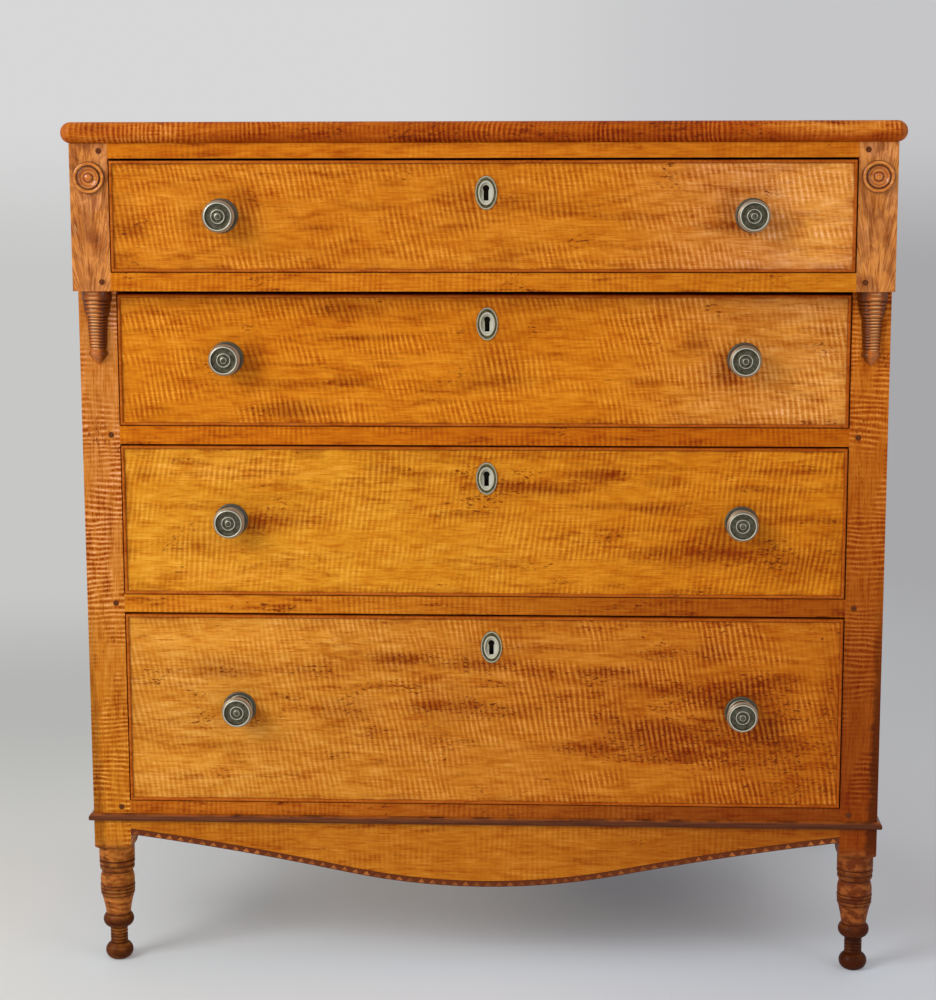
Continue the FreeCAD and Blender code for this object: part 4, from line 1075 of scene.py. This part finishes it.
class CHEST_OT_banding(bpy.types.Operator):
    """Inlaid triangle banding along the apron's edge"""

    bl_idname = "chest.banding"
    bl_label = "Apron banding"

    def execute(self, context):
        banding = context.scene.chest_banding
        mesh = merged_copy("banding", "apron_banding")
        self.map_along(mesh, lower_edge("apron_banding"), banding.tooth)
        piece = bpy.data.objects.new("banding", mesh)
        context.scene.collection.objects.link(piece)
        mesh.materials.append(self.finish(banding, context.scene.chest_wood).material)
        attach(piece, "case")
        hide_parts("apron_banding")
        return {"FINISHED"}

    def map_along(self, mesh, edge, tooth):
        """Gives the mesh a map: u along the lower edge in teeth, v up the banding's width."""
        run = [0.0]
        for (x0, z0), (x1, z1) in zip(edge, edge[1:]):
            run.append(run[-1] + math.hypot(x1 - x0, z1 - z0))
        layer = mesh.uv_layers.new(name="along")
        for loop in mesh.loops:
            place = mesh.vertices[loop.vertex_index].co
            gaps = [math.hypot(x - place.x, z - place.z) for x, z in edge]
            index = gaps.index(min(gaps))
            ahead = edge[min(index + 1, len(edge) - 1)]
            behind = edge[max(index - 1, 0)]
            slope = Vector((ahead[0] - behind[0], ahead[1] - behind[1])).normalized()
            offset = Vector((place.x - edge[index][0], place.z - edge[index][1]))
            u = (run[index] + offset.dot(slope)) / tooth
            v = (offset.y * slope.x - offset.x * slope.y) / BANDING_WIDTH
            layer.data[loop.index].uv = (u, v)

    def finish(self, banding, wood):
        """Pale triangles that stand on a dark edge line, fainter right of the middle."""
        finish = Finish("banding", roughness=0.38, coat_weight=wood.gloss, specular_ior_level=0.12)
        u, v, _ = finish.split(finish.node("ShaderNodeUVMap", {"uv_map": "along"}, {}))
        tooth = u - u.step("FLOOR", u)
        slope = 1 - abs(tooth * 2 - 1) / banding.spread
        triangle = (slope - (v - banding.line) / 0.66).smooth(-0.1, 0.1)
        triangle = triangle * v.smooth(banding.line - 0.08, banding.line + 0.04)
        line = (1 - v.smooth(0.04, banding.line)).most(v.smooth(0.82, 0.94))
        grain = finish.noise(finish.coordinates, (12, 4, 1.2))
        rubbed = finish.noise(finish.coordinates, (16, 9, 16), 2, 0.5).smooth(0.36, 0.62)
        x, _, _ = finish.axes()
        rubbed = rubbed * (1 - x.pulse(120, 300) * 0.7)
        colour = finish.blend(triangle * (0.15 + 0.7 * rubbed), banding.dark, banding.light)
        colour = finish.blend(line * 0.8, colour, wood.old_polish_and_shade)
        colour = finish.blend(grain.smooth(0.48, 0.75) * 0.45, colour, wood.old_polish_and_shade)
        finish.feed(base_color=colour, roughness=0.3 + 0.2 * grain)
        finish.bump(grain + triangle * 0.3, 0.15 * MM, 0.4)
        return finish


# ---------------------------------------------------------------------------------------------
# Metals
# ---------------------------------------------------------------------------------------------

# Radius of the knobs in mm, and the radii between which their pale outer band, a painted
# reflection, begins
KNOB_RADIUS = 21.5
KNOB_REFLECTION_BAND = (16.6, 17.6)
# Shining ridges of the knobs, worn metal with a painted highlight: radius, half width in mm,
# strength. The last, near the rim, is a painted highlight only.
KNOB_RIDGES = ((16.7, 0.95, 1.0), (8.3, 0.8, 0.8), (3.6, 0.7, 0.55), (19.4, 0.8, 0.4))
# Half width and half height of the keyhole plates in mm, and their shining ridges, worn metal with
# a painted highlight, as shares of these
PLATE_HALF_WIDTH = 13.5
PLATE_HALF_HEIGHT = 20.75
PLATE_RIDGES = ((0.66, 0.09, 1.1), (0.945, 0.05, 0.8))


class CHEST_OT_knobs(bpy.types.Operator):
    """Ringed knobs with dark patina, worn ridges with painted highlights, and a pale band of
    painted reflection
    """

    bl_idname = "chest.knobs"
    bl_label = "Knobs"

    def execute(self, context):
        for number in DRAWERS:
            name = f"drawer_{number}_knobs"
            dress(self.finish(context.scene.chest_metal, f"knob_{number}", name), name)
        return {"FINISHED"}

    def finish(self, metal, title, name):
        finish = Finish(title, metallic=0.9, specular_ior_level=0.5)
        radius = axis_distance(finish, name, KNOB_RADIUS)
        mottle = finish.noise(finish.coordinates, (5, 5, 5), 4, 0.62)
        fine = finish.noise(finish.coordinates, (1.2, 1.2, 1.2))
        colour = finish.blend(mottle.smooth(0.3, 0.75), metal.patina, metal.brass)
        # Painted reflection in the pale outer band, then worn ridges with a painted highlight.
        colour = finish.blend(radius.smooth(*KNOB_REFLECTION_BAND) * 0.75, colour, metal.band)
        wear = ridges(radius, KNOB_RIDGES) * mottle.smooth(0.1, 0.45)
        colour = finish.blend(wear, colour, metal.worn)
        _, y, _ = finish.axes()
        depth = (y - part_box(name)[0].y / MM).smooth(11, 19)
        colour = finish.blend(depth * 0.7, colour, metal.tarnish)
        finish.feed(base_color=colour, roughness=0.42 - 0.14 * wear + 0.1 * fine + 0.1 * depth)
        finish.bump(fine + mottle, 0.15 * MM, 0.5)
        return finish


class CHEST_OT_keyhole_plates(bpy.types.Operator):
    """Oval keyhole plates, with a painted glint in their middle and painted highlights on their
    ridges
    """

    bl_idname = "chest.keyhole_plates"
    bl_label = "Keyhole plates"

    def execute(self, context):
        for number in DRAWERS:
            name = f"drawer_{number}_escutcheon"
            dress(self.finish(context.scene.chest_metal, f"keyhole_plate_{number}", name), name)
        return {"FINISHED"}

    def finish(self, metal, title, name):
        finish = Finish(title, metallic=0.9, specular_ior_level=0.5)
        unit = (PLATE_HALF_WIDTH * MM, 1, PLATE_HALF_HEIGHT * MM)
        x, _, z = finish.axes(centre=middle(name), unit=unit)
        reach = (x * x + z * z).root()
        mottle = finish.noise(finish.coordinates, (4, 4, 4), 4, 0.62)
        colour = finish.blend(mottle.smooth(0.36, 0.66), metal.plate, metal.patina)
        colour = finish.blend(reach.pulse(0.8, 0.12) * 0.6, colour, metal.patina)
        # Painted glint: the middle of the plate is lighter towards the right and the bottom.
        painted_glint = (1 - reach.smooth(0.56, 0.64)) * (x * 0.8 - z * 0.4).smooth(-0.9, 0.5)
        colour = finish.blend(painted_glint * 0.9, colour, metal.worn)
        wear = ridges(reach, PLATE_RIDGES)
        colour = finish.blend(wear * (0.6 + 0.8 * mottle), colour, metal.worn)
        finish.feed(base_color=colour, roughness=0.34 + 0.15 * mottle - 0.1 * wear)
        finish.bump(mottle, 0.15 * MM, 0.5)
        return finish


class CHEST_OT_locks(bpy.types.Operator):
    """Iron lock cases and brass bolts"""

    bl_idname = "chest.locks"
    bl_label = "Locks"

    def execute(self, context):
        metal = context.scene.chest_metal
        for part, base, spot in (
            ("lock", metal.iron, context.scene.chest_wood.old_polish_and_shade),
            ("bolt", metal.plate, metal.patina),
        ):
            finish = Finish(f"{part}_metal", metallic=0.85, specular_ior_level=0.5)
            rust = finish.noise(finish.coordinates, (8, 8, 8), 5, 0.65)
            brushed = finish.noise(finish.coordinates, (0.6, 12, 12), 2)
            colour = finish.blend(rust.smooth(0.42, 0.68), base, spot)
            finish.feed(base_color=colour, roughness=0.35 + 0.3 * rust)
            finish.bump(brushed + rust, 0.1 * MM, 0.4)
            dress(finish, *[f"drawer_{number}_{part}" for number in DRAWERS])
        return {"FINISHED"}


# ---------------------------------------------------------------------------------------------
# Stage
# ---------------------------------------------------------------------------------------------

CAMERA_PLACE = (0.11833, -3.10383, 1.095)
CAMERA_YAW = -0.04781
CAMERA_PITCH = 0.16372
CAMERA_ROLL = -0.00251
LAMP_TARGET = (0, 0, 0.55)
FLOOR_RADIUS = 14.0


def camera_matrix():
    """The camera's place and turn: it looks down a little, from right of the middle."""
    forward = Vector(
        (
            math.sin(CAMERA_YAW) * math.cos(CAMERA_PITCH),
            math.cos(CAMERA_YAW) * math.cos(CAMERA_PITCH),
            -math.sin(CAMERA_PITCH),
        )
    )
    level = Vector((math.cos(CAMERA_YAW), -math.sin(CAMERA_YAW), 0))
    upright = level.cross(forward)
    right = math.cos(CAMERA_ROLL) * level + math.sin(CAMERA_ROLL) * upright
    up = math.cos(CAMERA_ROLL) * upright - math.sin(CAMERA_ROLL) * level
    turn = Matrix((right, up, -forward)).transposed().to_4x4()
    return Matrix.Translation(CAMERA_PLACE) @ turn


def aim(place, target):
    """A lamp's place and turn, facing its target."""
    place = Vector(place)
    turn = (Vector(target) - place).to_track_quat("-Z", "Y")
    return Matrix.Translation(place) @ turn.to_matrix().to_4x4()


def seen(finish):
    """1 for a ray from the camera, a gloss or a glass, and 0 for room light."""
    camera = finish.node("ShaderNodeLightPath", {}, {}, "Is Camera Ray")
    rays = camera.socket.node.outputs
    glossy = Signal(finish, rays["Is Glossy Ray"])
    return camera.most(glossy).most(Signal(finish, rays["Is Transmission Ray"]))


class CHEST_OT_stage(bpy.types.Operator):
    """Floor, room light, lamps and camera"""

    bl_idname = "chest.stage"
    bl_label = "Stage"

    def execute(self, context):
        stage = context.scene.chest_stage
        self.make_floor(context, stage)
        self.make_world(context, stage)
        self.make_lamp(context, "key", (-3.2, -2.7, 2.7), (2.0, 1.8), stage.key_power)
        self.make_lamp(context, "fill", (3.0, -2.6, 1.6), (1.2, 2.0), stage.fill_power)
        self.make_camera(context, stage)
        context.scene.view_settings.view_transform = "Standard"
        return {"FINISHED"}

    def make_camera(self, context, stage):
        data = bpy.data.cameras.new("camera")
        data.sensor_width = 36
        data.lens = stage.lens / MM
        data.clip_end = 100
        camera = bpy.data.objects.new("camera", data)
        camera.matrix_world = camera_matrix()
        context.scene.collection.objects.link(camera)
        context.scene.camera = camera

    def make_lamp(self, context, name, place, size, power):
        data = bpy.data.lights.new(name, "AREA")
        data.shape = "RECTANGLE"
        data.size, data.size_y = size
        data.energy = power
        lamp = bpy.data.objects.new(name, data)
        lamp.matrix_world = aim(place, LAMP_TARGET)
        context.scene.collection.objects.link(lamp)

    def make_floor(self, context, stage):
        """A wide round floor."""
        shape = bmesh.new()
        bmesh.ops.create_circle(shape, cap_ends=True, segments=96, radius=FLOOR_RADIUS)
        mesh = bpy.data.meshes.new("floor")
        shape.to_mesh(mesh)
        shape.free()
        mesh.materials.append(self.floor_finish(stage).material)
        floor = bpy.data.objects.new("floor", mesh)
        context.scene.collection.objects.link(floor)

    def floor_finish(self, stage):
        """A pale floor with painted shadows and painted light round the chest, which fades into the
        backdrop.
        """
        finish = Finish("floor", roughness=0.9, specular_ior_level=0.1)
        x, y, _ = finish.axes(unit=UNSCALED)
        cloud = finish.noise(finish.coordinates, (900, 900, 900), 2, 0.5)
        side = x.smooth(-1.0, 0.9)
        colour = finish.blend(side + (cloud - 0.5) * 0.15, stage.floor, stage.floor_shade)
        # Painted shade: a darker band across the left of the floor.
        colour = finish.blend(y.pulse(1.1, 1.3) * (1 - side) * 0.5, colour, stage.right)
        radius = (x * x + y * y).root()
        # Painted shade and light on the floor: a cool tint near the chest, shadows below the chest
        # and next to the left legs, light to the right of the chest and in front of it, and shade
        # towards the left.
        painted_shade_under = x.pulse(0.2, 0.3) * y.pulse(0.1, 0.4)
        painted_shadow_beside_legs = x.pulse(-0.34, 0.14) * y.pulse(-0.02, 0.16)
        corner = x.smooth(0.34, 0.42) * (1 - x.smooth(0.5, 0.62)) * y.pulse(0.1, 0.3)
        before = x.pulse(0.0, 0.6) * y.pulse(-0.32, 0.3)
        outer = (1 - x.smooth(-0.85, -0.45)) * y.smooth(-0.25, 0.2)
        for mask, gain in (
            (1 - radius.smooth(0.3, 0.9), (0.94, 1.0, 1.08, 1)),
            (painted_shade_under, (0.45, 0.47, 0.58, 1)),
            (painted_shadow_beside_legs, (0.72, 0.73, 0.74, 1)),
            (corner, (1.2, 1.2, 1.2, 1)),
            (before, (1.12, 1.12, 1.12, 1)),
            (outer, (0.9, 0.92, 0.92, 1)),
        ):
            colour = finish.shade(mask, colour, gain)
        finish.feed(base_color=colour)
        # The backdrop's glow, with a painted darker band; near the chest about a third of what the
        # camera sees of the floor is this glow, painted light that lifts the shadow.
        glow = finish.blend(side, stage.left, stage.right)
        glow = finish.shade(y.pulse(1.15, 1.1) * (1 - side * 0.2), glow, (0.84, 0.84, 0.82, 1))
        glow_share = 0.32 - painted_shade_under * 0.11 + 0.68 * radius.smooth(0.9, 2.7)
        lit = Signal(finish, finish.shader.outputs[0])
        backdrop = finish.node("ShaderNodeEmission", {}, {"Color": glow})
        finish.surface("Material Output", glow_share * seen(finish), lit, backdrop)
        return finish

    def make_world(self, context, stage):
        """Even room light, in front of a glowing backdrop with painted shade, darker downwards and
        to the right.
        """
        world = bpy.data.worlds.new("room")
        world.use_nodes = True
        context.scene.world = world
        background = world.node_tree.nodes["Background"]
        background.inputs["Color"].default_value = (1, 1, 1, 1)
        background.inputs["Strength"].default_value = stage.world_strength
        room = WorldNodes(world.node_tree)
        x, _, z = room.split(room.node("ShaderNodeTexCoord", {}, {}, "Generated"))
        lower = room.blend(x.smooth(-0.2, 0.14), stage.left, stage.right)
        upper = room.blend(x.smooth(-0.08, 0.08), stage.upper_left, stage.upper_right)
        colour = room.blend(z.smooth(-0.066, 0.006), lower, upper)
        light = Signal(room, background.outputs[0])
        backdrop = room.node("ShaderNodeBackground", {}, {"Color": colour})
        room.surface("World Output", seen(room), light, backdrop)


# ---------------------------------------------------------------------------------------------
# Panel and registration
# ---------------------------------------------------------------------------------------------

OPERATORS = (
    CHEST_OT_drawer_fronts,
    CHEST_OT_cock_beads,
    CHEST_OT_case_front,
    CHEST_OT_top_board,
    CHEST_OT_posts,
    CHEST_OT_case_ends,
    CHEST_OT_corner_blocks,
    CHEST_OT_turnings,
    CHEST_OT_beads_and_pegs,
    CHEST_OT_inner_woods,
    CHEST_OT_banding,
    CHEST_OT_knobs,
    CHEST_OT_keyhole_plates,
    CHEST_OT_locks,
    CHEST_OT_stage,
)
SETTINGS = {
    "chest_wood": ChestWoodSettings,
    "chest_banding": ChestBandingSettings,
    "chest_metal": ChestMetalSettings,
    "chest_stage": ChestStageSettings,
}


class CHEST_PT_panel(bpy.types.Panel):
    """Lists the chest's settings and steps"""

    bl_idname = "CHEST_PT_panel"
    bl_label = "Maple Chest"
    bl_space_type = "VIEW_3D"
    bl_region_type = "UI"
    bl_category = "Chest"

    def draw(self, context):
        for name, group in SETTINGS.items():
            box = self.layout.box()
            for setting in group.__annotations__:
                box.prop(getattr(context.scene, name), setting)
        for operator in OPERATORS:
            self.layout.operator(operator.bl_idname)


def register():
    for name, group in SETTINGS.items():
        bpy.utils.register_class(group)
        setattr(bpy.types.Scene, name, PointerProperty(type=group))
    for operator in OPERATORS:
        bpy.utils.register_class(operator)
    bpy.utils.register_class(CHEST_PT_panel)


def unregister():
    bpy.utils.unregister_class(CHEST_PT_panel)
    for operator in reversed(OPERATORS):
        bpy.utils.unregister_class(operator)
    for name, group in SETTINGS.items():
        delattr(bpy.types.Scene, name)
        bpy.utils.unregister_class(group)


def main():
    register()
    for operator in OPERATORS:
        group, step = operator.bl_idname.split(".")
        getattr(getattr(bpy.ops, group), step)()


if __name__ == "__main__":
    main()
